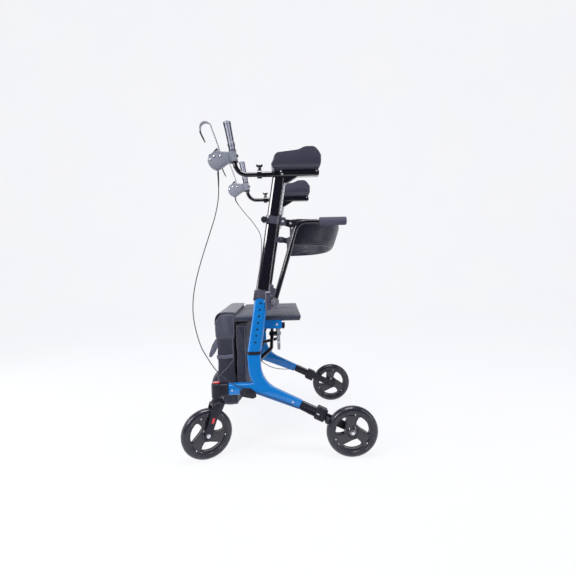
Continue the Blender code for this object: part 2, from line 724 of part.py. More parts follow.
def build_tray(side):
    """Black tray under the forearm pad, with the bar sleeve, its clamp ring and the gusset."""
    name = side + "_tray"
    y = out(side, 0)
    tray = block_piece(name, (TRAY_LENGTH, TRAY_WIDTH, TRAY_HEIGHT),
                       at(TRAY_FRONT_X + TRAY_LENGTH / 2, y, TRAY_TOP_Z - TRAY_HEIGHT / 2), 0.004)
    front, back = BAR_SLEEVE_FRONT_X, TRAY_FRONT_X + 0.010
    sleeve = rod_piece(name + "_bar_sleeve", BAR_SLEEVE, back - front - 0.004, at((back + front + 0.004) / 2, y, BAR_Z, ALONG_X))
    ring_x = front + BAR_CLAMP_WIDTH / 2
    ring = rod_piece(name + "_clamp", BAR_CLAMP, BAR_CLAMP_WIDTH, at(ring_x, y, BAR_Z, ALONG_X))
    boss = rod_piece(name + "_boss", 0.0065, 0.012, at(ring_x, y, BAR_Z + BAR_CLAMP + 0.003), 16)
    post_x, under = axis_x(TRAY_TOP_Z - TRAY_HEIGHT), TRAY_TOP_Z - TRAY_HEIGHT
    low = under + 0.002
    start = post_x - POST_DEPTH / 2 - 0.002
    seat, crest = under + 0.0004, BAR_Z - 0.0023
    saddle = block_piece(name + "_saddle", (POST_DEPTH + 0.010, POST_WIDTH + 0.008, crest - seat),
                         at(start + (POST_DEPTH + 0.010) / 2, y, (crest + seat) / 2), 0.002)
    lip = post_x + POST_DEPTH / 2 + 0.003
    outline = [(lip, low), (lip + GUSSET_LENGTH, low), (lip, low - GUSSET_DEPTH)]
    gusset = as_mesh(sheet_piece(name + "_gusset", [outline], 0.020, at(0, y, 0, SIDE_VIEW)))
    fuse(tray, sleeve, ring, boss, saddle, gusset)
    bore_front, bore_back = front - 0.01, BAR_INNER_X + 0.026
    bore = rod_piece(name + "_bore", BAR_RADIUS + SLIDE_GAP, bore_back - bore_front,
                     at((bore_back + bore_front) / 2, y, BAR_Z, ALONG_X))
    tap = rod_piece(name + "_tap", 0.0030 + TURN_GAP, 0.030, at(ring_x, y, BAR_Z + 0.020), 12)
    cut(tray, bore, tap)
    return dress(tray, BLACK_GLOSS, 0.35)


def build_wing_knob(side):
    """Wing knob on the bar clamp."""
    name = side + "_wing_knob"
    x, y = BAR_SLEEVE_FRONT_X + BAR_CLAMP_WIDTH / 2, out(side, 0)
    foot = BAR_Z + BAR_CLAMP + 0.009 + SEAT_GAP
    stem = BAR_CLAMP - BAR_RADIUS + 0.007
    knob = rod_piece(name, 0.0060, 0.010, at(x, y, foot + 0.005), 16)
    stud = rod_piece(name + "_stud", 0.0030, stem + 0.004, at(x, y, foot - stem / 2 + 0.002), 12)
    h = WING_SPAN / 2
    wings = [(-h, WING_HEIGHT), (-h, 0.005), (-0.004, 0.0015), (0.004, 0.0015), (h, 0.005), (h, WING_HEIGHT),
             (h - 0.006, WING_HEIGHT), (0.0, 0.007), (0.006 - h, WING_HEIGHT)]
    wing = as_mesh(sheet_piece(name + "_wings", [wings], 0.006, at(x, y, foot, SIDE_VIEW), 0.0015, 1))
    fuse(knob, stud, wing)
    return dress(knob, BLACK_PLASTIC, 0.4)


def gutter_section(x, y, bulge):
    """Return one U-shaped ring of the forearm pad at a station.

    The ring follows a half ellipse outside, a smaller one inside, and round wall tops.
    """
    rise = PAD_RISE + PAD_SWELL * bulge[1]
    half, base = PAD_HALF * bulge[0], TRAY_TOP_Z + SEAT_GAP
    points = []
    top = base + rise
    for i in range(11):
        a = math.pi * i / 10
        reach = abs(math.cos(a)) ** 0.6 * (1 if math.cos(a) > 0 else -1)
        points.append((x, y + half * reach, top - rise * math.sin(a) ** 0.55))
    inner_half, inner_rise = half - PAD_WALL, rise - PAD_WALL * 0.9
    for i in range(9):
        a = math.pi * (1 - i / 8)
        lift = 0.006 * abs(math.cos(a)) ** 3
        points.append((x, y + inner_half * math.cos(a), top + lift - inner_rise * math.sin(a) ** 0.8))
    return points


def build_pad(side):
    """Forearm pad: a soft gutter whose walls draw in towards its ends."""
    stations = [(0.0, 0.84, -2.4), (0.025, 0.94, -1.2), (0.08, 1.0, -0.3), (0.30, 1.0, 0.2), (0.54, 1.0, 0.55),
                (0.67, 1.0, 1.5), (0.87, 1.0, 1.45), (0.96, 0.97, 0.1), (1.0, 0.90, -1.4)]
    sections = [gutter_section(PAD_FRONT_X + t * PAD_LENGTH, out(side, 0), (w, h)) for t, w, h in stations]
    return dress(loft_piece(side + "_pad", sections), LEATHERETTE, 0.55)


def handle_up(height):
    """Return X of the upright part of the handlebar at a height."""
    return HANDLE_CORNER_X - (height - BAR_Z) * math.tan(HANDLE_LEAN)


def handle_frame(side, height):
    """Return the leaning frame on the handlebar, with local Z up along it."""
    return at(handle_up(height), out(side, 0), height, Matrix.Rotation(-HANDLE_LEAN, 4, "Y"))


def build_handle_tube(side):
    """Black handlebar: along the rest, then bent up to the grip."""
    y = out(side, 0)
    top = GRIP_BOTTOM_Z + (GRIP_LENGTH - 0.006) * math.cos(HANDLE_LEAN)
    path = fillet([(BAR_INNER_X, y, BAR_Z), (HANDLE_CORNER_X, y, BAR_Z), (handle_up(top), y, top)], HANDLE_BEND)
    return dress(tube_piece(side + "_handle_tube", path, BAR_RADIUS), BLACK_GLOSS, 0.25)


def build_grip(side):
    """Grey hand grip, wider towards its closed top."""
    inner = BAR_RADIUS + SEAT_GAP
    top, floor = GRIP_LENGTH, GRIP_LENGTH - 0.006 + SEAT_GAP
    profile = [(0.0, top), (GRIP_HEAD_RADIUS - 0.004, top), (GRIP_HEAD_RADIUS, top - 0.004),
               (GRIP_HEAD_RADIUS - 0.001, top - 0.014), (GRIP_FOOT_RADIUS, 0.030), (GRIP_FOOT_RADIUS + 0.002, 0.022),
               (GRIP_FOOT_RADIUS, 0.014), (GRIP_FOOT_RADIUS, 0.0), (inner, 0.0), (inner, floor), (0.0, floor)]
    grip = turned_piece(side + "_grip", profile, 18, handle_frame(side, GRIP_BOTTOM_Z))
    return dress(grip, (0.30, 0.30, 0.35), 0.45)


def build_housing(side):
    """Grey brake housing: a clamp round the handlebar and a hollow cheeked body."""
    name = side + "_brake_housing"
    y = out(side, 0)
    outline = [(-0.1500, 1.1700), (-0.1890, 1.1730), (-0.2070, 1.1770), (-0.2240, 1.1700), (-0.2380, 1.1560),
               (-0.2430, 1.1400), (-0.2380, 1.1240), (-0.2280, 1.1130), (-0.2140, 1.1070), (-0.2000, 1.1100),
               (-0.1820, 1.1220), (-0.1690, 1.1310), (-0.1500, 1.1370)]
    body = as_mesh(sheet_piece(name, [outline], HOUSING_WIDTH, at(0, y, 0, SIDE_VIEW), 0.003, 1))
    length = (GRIP_BOTTOM_Z - SEAT_GAP - CLAMP_FOOT_Z) / math.cos(HANDLE_LEAN)
    middle = (GRIP_BOTTOM_Z - SEAT_GAP + CLAMP_FOOT_Z) / 2
    ring = rod_piece(name + "_ring", CLAMP_RADIUS, length, handle_frame(side, middle))
    ferrule = rod_piece(name + "_ferrule", FERRULE_RADIUS, 0.020,
                        at(CABLE_ROUTES[side][0][0], y, FERRULE_BOTTOM_Z + 0.010), 16)
    fuse(body, ring, ferrule)
    px, pz = LEVER_PIVOT
    bore = rod_piece(name + "_bore", BAR_RADIUS + SEAT_GAP, 0.16, handle_frame(side, middle))
    slot = block_piece(name + "_slot", (0.034, LEVER_WIDTH + 2 * SLIDE_GAP, 0.060), at(px - 0.001, y, pz + 0.020))
    cut(body, bore, slot)
    pin = rod_piece(name + "_pin", LEVER_PIN, HOUSING_WIDTH - 0.004, at(px, y, pz, SIDE_VIEW), 12)
    fuse(body, pin)
    return dress(body, GREY_CAST, 0.5)


def lever_path():
    """Return the middle line of the lever's bent strip in side view."""
    px, pz = LEVER_PIVOT
    low = [(px, pz), (-0.2000, 1.1790), (-0.2030, 1.1960), (-0.2120, 1.2250), (-0.2250, 1.2630)]
    hook = arc((-0.2465, 1.2640), 0.0215, 8, 165, 6)
    return low + hook[1:] + [(-0.2670, 1.2480), (-0.2620, 1.2350), (-0.2520, 1.2130)]


def build_lever(side):
    """Brake lever: a bent strip with an eye on its pin and a hooked end."""
    name = side + "_brake_lever"
    y = out(side, 0)
    path = [Vector(p) for p in lever_path()]
    left, right = [], []
    for i, point in enumerate(path):
        ahead = (path[min(i + 1, len(path) - 1)] - path[max(i - 1, 0)]).normalized()
        normal = Vector((-ahead.y, ahead.x)) * LEVER_STRIP / 2
        left.append(tuple(point + normal))
        right.append(tuple(point - normal))
    strip = as_mesh(sheet_piece(name, [left + right[::-1]], LEVER_WIDTH, at(0, y, 0, SIDE_VIEW)))
    px, pz = LEVER_PIVOT
    eye = rod_piece(name + "_eye", LEVER_PIN + 0.0032, LEVER_WIDTH, at(px, y, pz, SIDE_VIEW), 16)
    bore = rod_piece(name + "_bore", LEVER_PIN + TURN_GAP, 0.05, at(px, y, pz, SIDE_VIEW), 12)
    cut(fuse(strip, eye), bore)
    return dress(strip, SILVER, 0.35, 1.0)


def build_head(side):
    """Black head housing of the caster, round the stem and over the frame's arm end."""
    name = side + "_head"
    y = out(side, 0)
    bottom = HEAD_BOTTOM_Z
    profile = [(0.0, HEAD_TOP_Z), (HEAD_RADIUS - 0.004, HEAD_TOP_Z), (HEAD_RADIUS, HEAD_TOP_Z - 0.004),
               (HEAD_RADIUS, bottom + 0.003), (HEAD_RADIUS - 0.002, bottom), (0.0, bottom)]
    head = turned_piece(name, profile, 24, at(SWIVEL_X, y, 0))
    reach = HEAD_REACH - SEAT_GAP
    height = ARM_TOP_Z - ARM_BOTTOM_Z + 0.002
    bridge = block_piece(name + "_bridge", (reach, TUBE_WIDTH + 0.001, height),
                         at(SWIVEL_X + reach / 2, y, (ARM_TOP_Z + ARM_BOTTOM_Z) / 2 - 0.0005), 0.004)
    fuse(head, bridge)
    return dress(head, BLACK_PLASTIC, 0.5)


def caster_frame(side):
    """Return the frame of a caster: origin under its swivel axis, wheel towards local -X."""
    return at(SWIVEL_X, out(side, 0), 0, Matrix.Rotation(-SIDES[side] * CASTER_TURN, 4, "Z"))


def build_fork(side):
    """Caster fork: bearing, crown, two tapered blades and the axle."""
    name = side + "_fork"
    frame = caster_frame(side)
    crown_low = WHEEL_RADIUS * 2 + CROWN_GAP
    crown_top = crown_low + CROWN_HEIGHT
    blade_out = TYRE_WIDTH / 2 + FORK_SIDE_GAP + FORK_BLADE / 2
    fork = block_piece(name, (0.050, 2 * blade_out + FORK_BLADE + 0.001, CROWN_HEIGHT),
                       frame @ at(0.001, 0, (crown_low + crown_top) / 2), 0.0040)
    profile = [(0.0, crown_top + BEARING_HEIGHT), (0.017, crown_top + BEARING_HEIGHT), (0.017, crown_top + 0.010),
               (BEARING_RADIUS, crown_top + 0.008), (BEARING_RADIUS, crown_top + 0.001),
               (BEARING_RADIUS - 0.003, crown_top - 0.001), (0.0, crown_top - 0.001)]
    fuse(fork, turned_piece(name + "_bearing", profile, 20, frame))
    outline = [(-0.022, crown_top - 0.003), (-0.041, 0.150)]
    outline += arc((-CASTER_TRAIL, WHEEL_RADIUS), FORK_EYE, 165, 375, 7)
    outline += [(-0.010, 0.152), (0.024, crown_top - 0.003)]
    for end in (-1, 1):
        blade = as_mesh(sheet_piece(f"{name}_blade_{end}", [outline], FORK_BLADE,
                                    frame @ at(0, end * blade_out, 0, SIDE_VIEW)))
        fuse(fork, blade)
    axle = rod_piece(name + "_axle", AXLE_RADIUS, 2 * blade_out + 0.010,
                     frame @ at(-CASTER_TRAIL, 0, WHEEL_RADIUS, SIDE_VIEW), 16)
    fuse(fork, axle)
    return dress(fork, BLACK_PLASTIC, 0.5)


def swirl_opening(head, hand):
    """Return one comma-shaped opening of the wheel web: a wide head and a tail along the rim.

    The outer edge is an arc. The inner edge keeps its radius at the head and reaches the tail at
    the rim as the power 4.5 of the angle. The hand is +1 where the tail goes anticlockwise.
    """
    tail = OPENING_OUTER - 0.005
    polar = [(OPENING_INNER + 0.003, 3.0), (0.5 * (OPENING_INNER + OPENING_OUTER), 0.0), (OPENING_OUTER - 0.005, 4.0)]
    polar += [(OPENING_OUTER, angle) for angle in (13.0, 30.0, 47.0, 64.0)]
    for share in (1.0, 0.92, 0.75, 0.50, 0.15):
        polar.append((OPENING_INNER + (tail - OPENING_INNER) * share ** 4.5, OPENING_SPAN * share))
    points = []
    for radius, angle in polar:
        turn = head + hand * math.radians(angle)
        points.append((radius * math.cos(turn), radius * math.sin(turn)))
    return points if hand > 0 else points[::-1]


def build_wheel(name, frame, head, hand):
    """Wheel of eight inches: tyre, web with three swirl openings, and hub."""
    rim = WHEEL_RADIUS - TYRE_DEPTH
    w = TYRE_WIDTH / 2
    r = WHEEL_RADIUS
    tread = [(rim, w - 0.002), (r - 0.008, w), (r, w - 0.009), (r, 0.009 - w), (r - 0.008, -w), (rim, 0.002 - w)]
    loops = [circle(rim + 0.004, WHEEL_SIDES)]
    for i in range(3):
        loops.append(swirl_opening(math.radians(head + 120.0 * i), hand))
    web = as_mesh(sheet_piece(name, loops, WEB_THICKNESS, frame @ SIDE_VIEW))
    tyre = turned_piece(name + "_tyre", tread, WHEEL_SIDES, frame @ SIDE_VIEW, closed=True)
    hub = rod_piece(name + "_hub", HUB_RADIUS, HUB_WIDTH, frame @ SIDE_VIEW)
    bore = rod_piece(name + "_bore", AXLE_RADIUS + TURN_GAP, 0.08, frame @ SIDE_VIEW, 12)
    cut(fuse(web, tyre, hub), bore)
    return dress(web, BLACK_PLASTIC, 0.6)


def build_front_wheel(side):
    """Front wheel in its fork."""
    return build_wheel(side + "_front_wheel", caster_frame(side) @ at(-CASTER_TRAIL, 0, WHEEL_RADIUS), 2.0, 1)


def build_rear_wheel(side):
    """Rear wheel outboard of the leg."""
    return build_wheel(side + "_rear_wheel", at(REAR_AXLE_X, out(side, REAR_WHEEL_OUT), WHEEL_RADIUS), 69.0, -1)


def leg_frame(side, distance, outboard, offset=0.0):
    """Return a frame on the leg's centre line, with local X down the leg towards the axle."""
    x, z = leg_point(distance, offset)
    return at(x, out(side, outboard), z, Matrix.Rotation(LEG_SLOPE, 4, "Y"))


def build_rear_leg(side):
    """Black end of the rear leg: tube, brake bracket, axle arm, axle and cable barrel."""
    name = side + "_rear_leg"
    start, stop = LEG_END - SEAT_GAP, BRACKET_DISTANCE
    leg = block_piece(name, (start - stop, 0.026, LEG_DEPTH - 0.004), leg_frame(side, (start + stop) / 2, 0), 0.006, 3)
    bracket = block_piece(name + "_bracket", (BRACKET_LENGTH, TUBE_WIDTH, BRACKET_HEIGHT), leg_frame(side, BRACKET_DISTANCE, 0), 0.004)
    arm_out = REAR_WHEEL_OUT - HUB_WIDTH / 2 - 0.012
    x0, z0 = leg_point(BRACKET_DISTANCE)
    ax, az = REAR_AXLE_X, WHEEL_RADIUS
    tilt = math.degrees(LEG_SLOPE)
    outline = arc((ax, az), 0.016, -90 - tilt, 90 - tilt, 8) + [leg_point(BRACKET_DISTANCE, 0.015), leg_point(BRACKET_DISTANCE, -0.015)]
    arm = as_mesh(sheet_piece(name + "_arm", [outline], 0.008, at(0, out(side, arm_out), 0, SIDE_VIEW)))
    spacer_far = REAR_WHEEL_OUT - HUB_WIDTH / 2 - SEAT_GAP
    spacer = rod_piece(name + "_spacer", 0.009, spacer_far - arm_out, at(ax, out(side, (spacer_far + arm_out) / 2), az, SIDE_VIEW))
    axle_end = REAR_WHEEL_OUT + HUB_WIDTH / 2 + SEAT_GAP
    axle = rod_piece(name + "_axle", AXLE_RADIUS, axle_end + 0.001 - arm_out, at(ax, out(side, (axle_end + 0.001 + arm_out) / 2), az, SIDE_VIEW), 16)
    bolt = rod_piece(name + "_bolt", 0.0085, 0.005, at(ax, out(side, axle_end + 0.0025), az, SIDE_VIEW), 12)
    bx, bz = CABLE_END_X, leg_point((REAR_AXLE_X - CABLE_END_X) / math.cos(LEG_SLOPE))[1] - 0.0128
    turn = Matrix.Rotation(LEG_SLOPE + math.radians(90.0), 4, "Y")
    barrel_length = 0.046
    bx += barrel_length / 2 * math.cos(LEG_SLOPE) + SEAT_GAP
    bz -= barrel_length / 2 * math.sin(LEG_SLOPE)
    barrel = rod_piece(name + "_barrel", FERRULE_RADIUS, barrel_length, at(bx, out(side, CABLE_OUT), bz, turn), 12)
    pin = rod_piece(name + "_brake_pin", 0.0035, 0.014, at(*brake_pivot(side, 0.015), SIDE_VIEW), 12)
    fuse(leg, bracket, arm, spacer, axle, bolt, barrel, pin)
    return dress(leg, BLACK_GLOSS, 0.35)


def brake_pivot(side, outboard):
    """Return the point of the brake arm's pivot at a distance outboard."""
    x, z = leg_point(BRAKE_PIVOT, 0.012)
    return x, out(side, outboard), z


def build_brake_arm(side):
    """Brake arm on its pin, with the shoe that presses on the tyre."""
    name = side + "_brake_arm"
    plate_out = TUBE_WIDTH / 2 + SEAT_GAP + BRAKE_PLATE / 2
    shoe_at = WHEEL_RADIUS + BRAKE_GAP + BRAKE_SHOE / 2
    px, _, pz = brake_pivot(side, 0)
    outline = arc((px, pz), 0.0095, 60, 220, 6) + [leg_point(shoe_at + 0.006, -0.012), leg_point(shoe_at - 0.005, -0.012),
                                                  leg_point(shoe_at - 0.005, 0.010), leg_point(shoe_at + 0.004, 0.018)]
    plate = as_mesh(sheet_piece(name, [outline], BRAKE_PLATE, at(0, out(side, plate_out), 0, SIDE_VIEW)))
    inner, outer = plate_out, REAR_WHEEL_OUT + TYRE_WIDTH / 2 - 0.003
    shoe = block_piece(name + "_shoe", (BRAKE_SHOE, outer - inner, 0.020),
                       leg_frame(side, shoe_at, (inner + outer) / 2, -0.001), 0.0015)
    bore = rod_piece(name + "_bore", 0.0035 + TURN_GAP, 0.03, at(px, out(side, plate_out), pz, SIDE_VIEW), 12)
    cut(fuse(plate, shoe), bore)
    return dress(plate, SILVER, 0.4, 1.0)


def build_cable(side):
    """Black brake cable from the housing's ferrule to the barrel on the rear leg."""
    path = smooth_path([(x, out(side, outboard), z) for x, outboard, z in CABLE_ROUTES[side]], 2)
    return dress(tube_piece(side + "_brake_cable", path, CABLE_RADIUS, 1), BLACK_PLASTIC, 0.5)


def brace_direction():
    """Return the rise over the run of the brace in front view."""
    return (RAIL_Z - 0.008 - BRACE_LOW_Z) / (BRACE_LOW_Y + BRACE_HIGH_Y)


def build_brace(name, foot_side, x, boss_from, boss_to):
    """Cross brace tube: foot barrel, bend to its own plane, and the seat rail on top."""
    s = SIDES[foot_side]
    slope = brace_direction()

    def along(y):
        return BRACE_LOW_Z + (BRACE_LOW_Y - s * y) * slope

    foot_y, high_y = s * BRACE_LOW_Y, -s * BRACE_HIGH_Y
    bend_y, knee_y = s * (BRACE_LOW_Y - 0.038), s * (BRACE_LOW_Y - 0.130)
    points = [(BRACE_FOOT_X, foot_y, BRACE_LOW_Z), (BRACE_FOOT_X, bend_y, along(bend_y)),
              (x, knee_y, along(knee_y)), (x, high_y, RAIL_Z - 0.008)]
    tube = as_mesh(tube_piece(name, fillet(points, 0.050, 3), BRACE_RADIUS))
    barrel = rod_piece(name + "_barrel", BARREL_RADIUS, BARREL_LENGTH, at(BRACE_FOOT_X, foot_y, BRACE_LOW_Z, ALONG_X), 16)
    rail = rod_piece(name + "_rail", RAIL_RADIUS, SEAT_LENGTH - 0.006,
                     at(SEAT_FRONT_X + SEAT_LENGTH / 2, high_y, RAIL_Z, ALONG_X))
    middle_z = along(0.0)
    boss = rod_piece(name + "_boss", 0.0115, boss_to - boss_from, at((boss_to + boss_from) / 2, 0, middle_z, ALONG_X))
    fuse(tube, barrel, rail, boss)
    eye = rod_piece(name + "_eye", PIVOT_PIN + TURN_GAP, BARREL_LENGTH + 0.01, at(BRACE_FOOT_X, foot_y, BRACE_LOW_Z, ALONG_X), 12)
    bore = rod_piece(name + "_bore", PIVOT_PIN + TURN_GAP, 0.08, at((boss_to + boss_from) / 2, 0, middle_z, ALONG_X), 12)
    cut(tube, eye, bore)
    return dress(tube, BLACK_GLOSS, 0.3), middle_z


def build_centre_bolt(height, front, back):
    """Bolt of the scissor joint, with a head at each end."""
    bolt = rod_piece("centre_bolt", PIVOT_PIN, back - front + 0.002, at((front + back) / 2, 0, height, ALONG_X), 12)
    for i, x in enumerate((front - 0.002, back + 0.002)):
        fuse(bolt, rod_piece(f"centre_bolt_head_{i}", 0.0075, 0.004, at(x, 0, height, ALONG_X), 12))
    return dress(bolt, SILVER, 0.3, 1.0)


def cushion_section(x, inner, outer, low, high, squeeze):
    """Return a ring round half the seat at X: flat below, crowned above, drawn in at its ends."""
    half, middle = (outer - inner) / 2, (outer + inner) / 2
    up = (high - low) * squeeze
    points = []
    for i in range(16):
        a = 2 * math.pi * i / 16
        c, d = math.cos(a), math.sin(a)
        y = middle + half * math.copysign(abs(c) ** 0.35, c)
        if d >= 0:
            z = low + up * 0.35 + up * 0.65 * d ** 0.5
        else:
            z = low + up * 0.35 - up * 0.35 * abs(d) ** 0.35
        points.append((x, y, z))
    return points


def build_seat_half(side):
    """Padded half of the seat on one rail."""
    s = SIDES[side]
    low = RAIL_Z + RAIL_RADIUS + SEAT_GAP
    sections = []
    for t, squeeze in ((0.0, 0.50), (0.02, 0.72), (0.06, 0.86), (0.20, 0.95), (0.50, 1.0), (0.80, 0.95),
                       (0.94, 0.86), (0.98, 0.72), (1.0, 0.50)):
        inner, outer = sorted((s * 0.0003, s * SEAT_HALF))
        sections.append(cushion_section(SEAT_FRONT_X + t * SEAT_LENGTH, inner, outer, low, low + SEAT_THICKNESS, squeeze))
    return dress(loft_piece(side + "_seat", sections), LEATHERETTE, 0.6)


def build_bag():
    """Fabric bag in front of the seat: a full sack, narrow below where the casters swing, and a lid."""
    top = RAIL_Z + RAIL_RADIUS - 0.002
    rows = [(BAG_BOTTOM_Z, 0.010, 0.012, BAG_FOOT_HALF - 0.010), (BAG_BOTTOM_Z + 0.010, 0.004, 0.002, BAG_FOOT_HALF),
            (BAG_WAIST_Z, 0.002, 0.0, BAG_FOOT_HALF), (BAG_WAIST_Z + 0.032, 0.0, 0.0, BAG_HALF - 0.006),
            (0.330, 0.0, 0.004, BAG_HALF), (0.450, 0.003, 0.004, BAG_HALF), (top, 0.006, 0.006, BAG_HALF)]
    sections = []
    for z, front, rear, half in rows:
        x0, x1 = BAG_FRONT_X + front, BAG_REAR_X - rear
        ring = rounded_rectangle(x1 - x0, 2 * half, 0.016, 2)
        sections.append([((x0 + x1) / 2 + px, py, z) for px, py in ring])
    bag = loft_piece("bag", sections)
    lid_front, lid_rear = BAG_FRONT_X + 0.005, SEAT_FRONT_X - SEAT_GAP
    lid = block_piece("bag_lid", (lid_rear - lid_front, 2 * BAG_HALF - 0.001, BAG_LID_Z - top + 0.040),
                      at((lid_rear + lid_front) / 2, 0, (BAG_LID_Z + top - 0.040) / 2), 0.010)
    fuse(bag, lid)
    return dress(bag, (0.03, 0.03, 0.035), 0.85)


def back_bolts():
    """Return the points of the backrest's two bolts, left and right."""
    return [Vector((axis_x(z) + HINGE_REACH, out(side, -HINGE_INSET), z))
            for side, z in ((side, hinge_height(side)) for side in SIDES)]


def back_frame():
    """Return the frame of the backrest: origin midway between the bolts, local Y along them."""
    a, b = back_bolts()
    y = (b - a).normalized()
    x = y.cross(Vector((0, 0, 1))).normalized()
    z = x.cross(y)
    turn = Matrix((x, y, z)).transposed().to_4x4()
    return Matrix.Translation((a + b) / 2) @ turn


def hinge_reach():
    """Return how far each bolt lies from the middle of the backrest, along local Y."""
    a, b = back_bolts()
    return (b - a).length / 2


def hinge_place(side):
    """Return the backrest's frame moved to one bolt."""
    return back_frame() @ at(0, SIDES[side] * hinge_reach(), 0)


def back_drop():
    """Return how far the band's middle line lies above the bolts, in the backrest's frame."""
    return BACK_Z - back_frame().translation.z


def build_back_arm(side):
    """Black hinge plate between the collar's bolt and the end of the backrest band."""
    name = side + "_back_arm"
    end, drop = BACK_ARM_LENGTH, back_drop()
    points = circle(0.0110, 16) + [(end - 0.020, drop + 0.014), (end, drop + 0.014), (end, drop + 0.042),
                                   (end - 0.022, drop + 0.046)]
    outline = [points[i] for i in geometry.convex_hull_2d(points)]
    inboard = -SIDES[side] * (LUG_WIDTH / 2 + SEAT_GAP + BACK_ARM_THICKNESS / 2)
    place = hinge_place(side) @ at(0, inboard, 0, SIDE_VIEW)
    plate = as_mesh(sheet_piece(name, [outline], BACK_ARM_THICKNESS, place))
    cut(plate, rod_piece(name + "_bore", LUG_BOLT + TURN_GAP, 0.03, place, 12))
    return dress(plate, BLACK_PLASTIC, 0.4)


def build_backrest():
    """Padded band behind the user: an oval section carried along a bow between the two arms.

    In the backrest's frame the band follows y = H sin(u), x = D (1 - |sin u| ^ n) ^ (1 / n), a bow
    of depth D. Behind the user its upper edge leans back.
    """
    power, last = 2.6, math.radians(89.0)
    end_fill = 0.9
    arm_face = hinge_reach() - LUG_WIDTH / 2 - SEAT_GAP - BACK_ARM_THICKNESS
    half = arm_face - SEAT_GAP - BACK_THICKNESS / 2 * end_fill
    frame = back_frame()

    def bow(angle):
        depth = (1 - abs(math.sin(angle)) ** power) ** (1 / power)
        return Vector((BACK_START + (BACK_DEPTH - BACK_START) * depth, half * math.sin(angle), back_drop()))

    sections = []
    count, step = 16, math.radians(0.5)
    for i in range(count + 1):
        u = (-1 + 2 * i / count) * last
        ahead = (bow(min(u + step, last)) - bow(max(u - step, -last))).normalized()
        normal = Vector((ahead.y, -ahead.x, 0.0))
        edge = min(i, count - i)
        fill = (end_fill, 1.0)[min(edge, 1)]
        ring = []
        for k in range(12):
            around = 2 * math.pi * k / 12
            c, d = math.cos(around), math.sin(around)
            across = BACK_THICKNESS / 2 * fill * math.copysign(abs(c) ** 0.7, c)
            up = BACK_HEIGHT / 2 * fill * math.copysign(abs(d) ** 0.45, d)
            lean = BACK_LEAN * math.cos(u) * up
            ring.append(frame @ (bow(u) + normal * across + Vector((lean, 0.0, up))))
        sections.append(ring)
    return dress(loft_piece("backrest_pad", sections), LEATHERETTE, 0.6)


def pivot(name, place, axis):
    """Return an empty on a joint, with its local Z along the joint's axis."""
    empty = bpy.data.objects.new(name, None)
    empty.empty_display_size = 0.03
    turn = Vector((0, 0, 1)).rotation_difference(Vector(axis)).to_matrix().to_4x4()
    empty.matrix_world = Matrix.Translation(place) @ turn
    PARTS.objects.link(empty)
    return empty


def hang(empty, *pieces):
    """Parent pieces to a joint's empty and leave them where they are."""
    bpy.context.view_layer.update()
    for piece in pieces:
        piece.parent = empty
        piece.matrix_parent_inverse = empty.matrix_world.inverted()


def build_side(side):
    """Build one side: frame, post, forearm rest, handle, assist handle, caster and rear wheel."""
    still = [build_frame(side), build_sleeve(side), build_band(side), build_collar(side), build_clamp(side),
             build_head(side), build_rear_leg(side), build_cable(side)]
    hang(pivot(side + "_side_origin", (0, out(side, 0), 0), (0, 0, 1)), *still)
    x, y, z = axis_x(SLEEVE_TOP_Z), out(side, 0), SLEEVE_TOP_Z
    up = (math.sin(LEAN), 0, math.cos(LEAN))
    hang(pivot(side + "_post_slide", (x, y, z), up), build_post(side), build_mid_collar(side),
         build_tray(side), build_pad(side))
    hang(pivot(side + "_handle_slide", (BAR_SLEEVE_FRONT_X, y, BAR_Z), (-1, 0, 0)),
         build_handle_tube(side), build_grip(side), build_housing(side))
    px, pz = LEVER_PIVOT
    hang(pivot(side + "_lever_hinge", (px, y, pz), (0, 1, 0)), build_lever(side))
    hang(pivot(side + "_wing_turn", (BAR_SLEEVE_FRONT_X + BAR_CLAMP_WIDTH / 2, y, BAR_Z), (0, 0, 1)), build_wing_knob(side))
    hang(pivot(side + "_collar_knob_turn", (collar_knob_x(side), y, hinge_height(side) + 0.006), (0, 1, 0)), build_collar_knob(side))
    hang(pivot(side + "_assist_hinge", (ASSIST_X, y, ASSIST_Z), (0, 1, 0)), build_assist_tube(side), build_assist_grip(side))
    hang(pivot(side + "_assist_knob_turn", (ASSIST_X, y, ASSIST_Z), (0, 1, 0)), build_assist_knob(side))
    hang(pivot(side + "_swivel", (SWIVEL_X, y, 0), (0, 0, 1)), build_fork(side))
    axle = caster_frame(side) @ Vector((-CASTER_TRAIL, 0, WHEEL_RADIUS))
    direction = caster_frame(side).to_3x3() @ Vector((0, 1, 0))
    hang(pivot(side + "_front_spin", axle, direction), build_front_wheel(side))
    hang(pivot(side + "_rear_spin", (REAR_AXLE_X, y, WHEEL_RADIUS), (0, 1, 0)), build_rear_wheel(side))
    hang(pivot(side + "_brake_hinge", brake_pivot(side, 0), (0, 1, 0)), build_brake_arm(side))
    hinge = hinge_place(side)
    hang(pivot(side + "_back_hinge", hinge.translation, hinge.to_3x3() @ Vector((0, 1, 0))), build_back_arm(side))


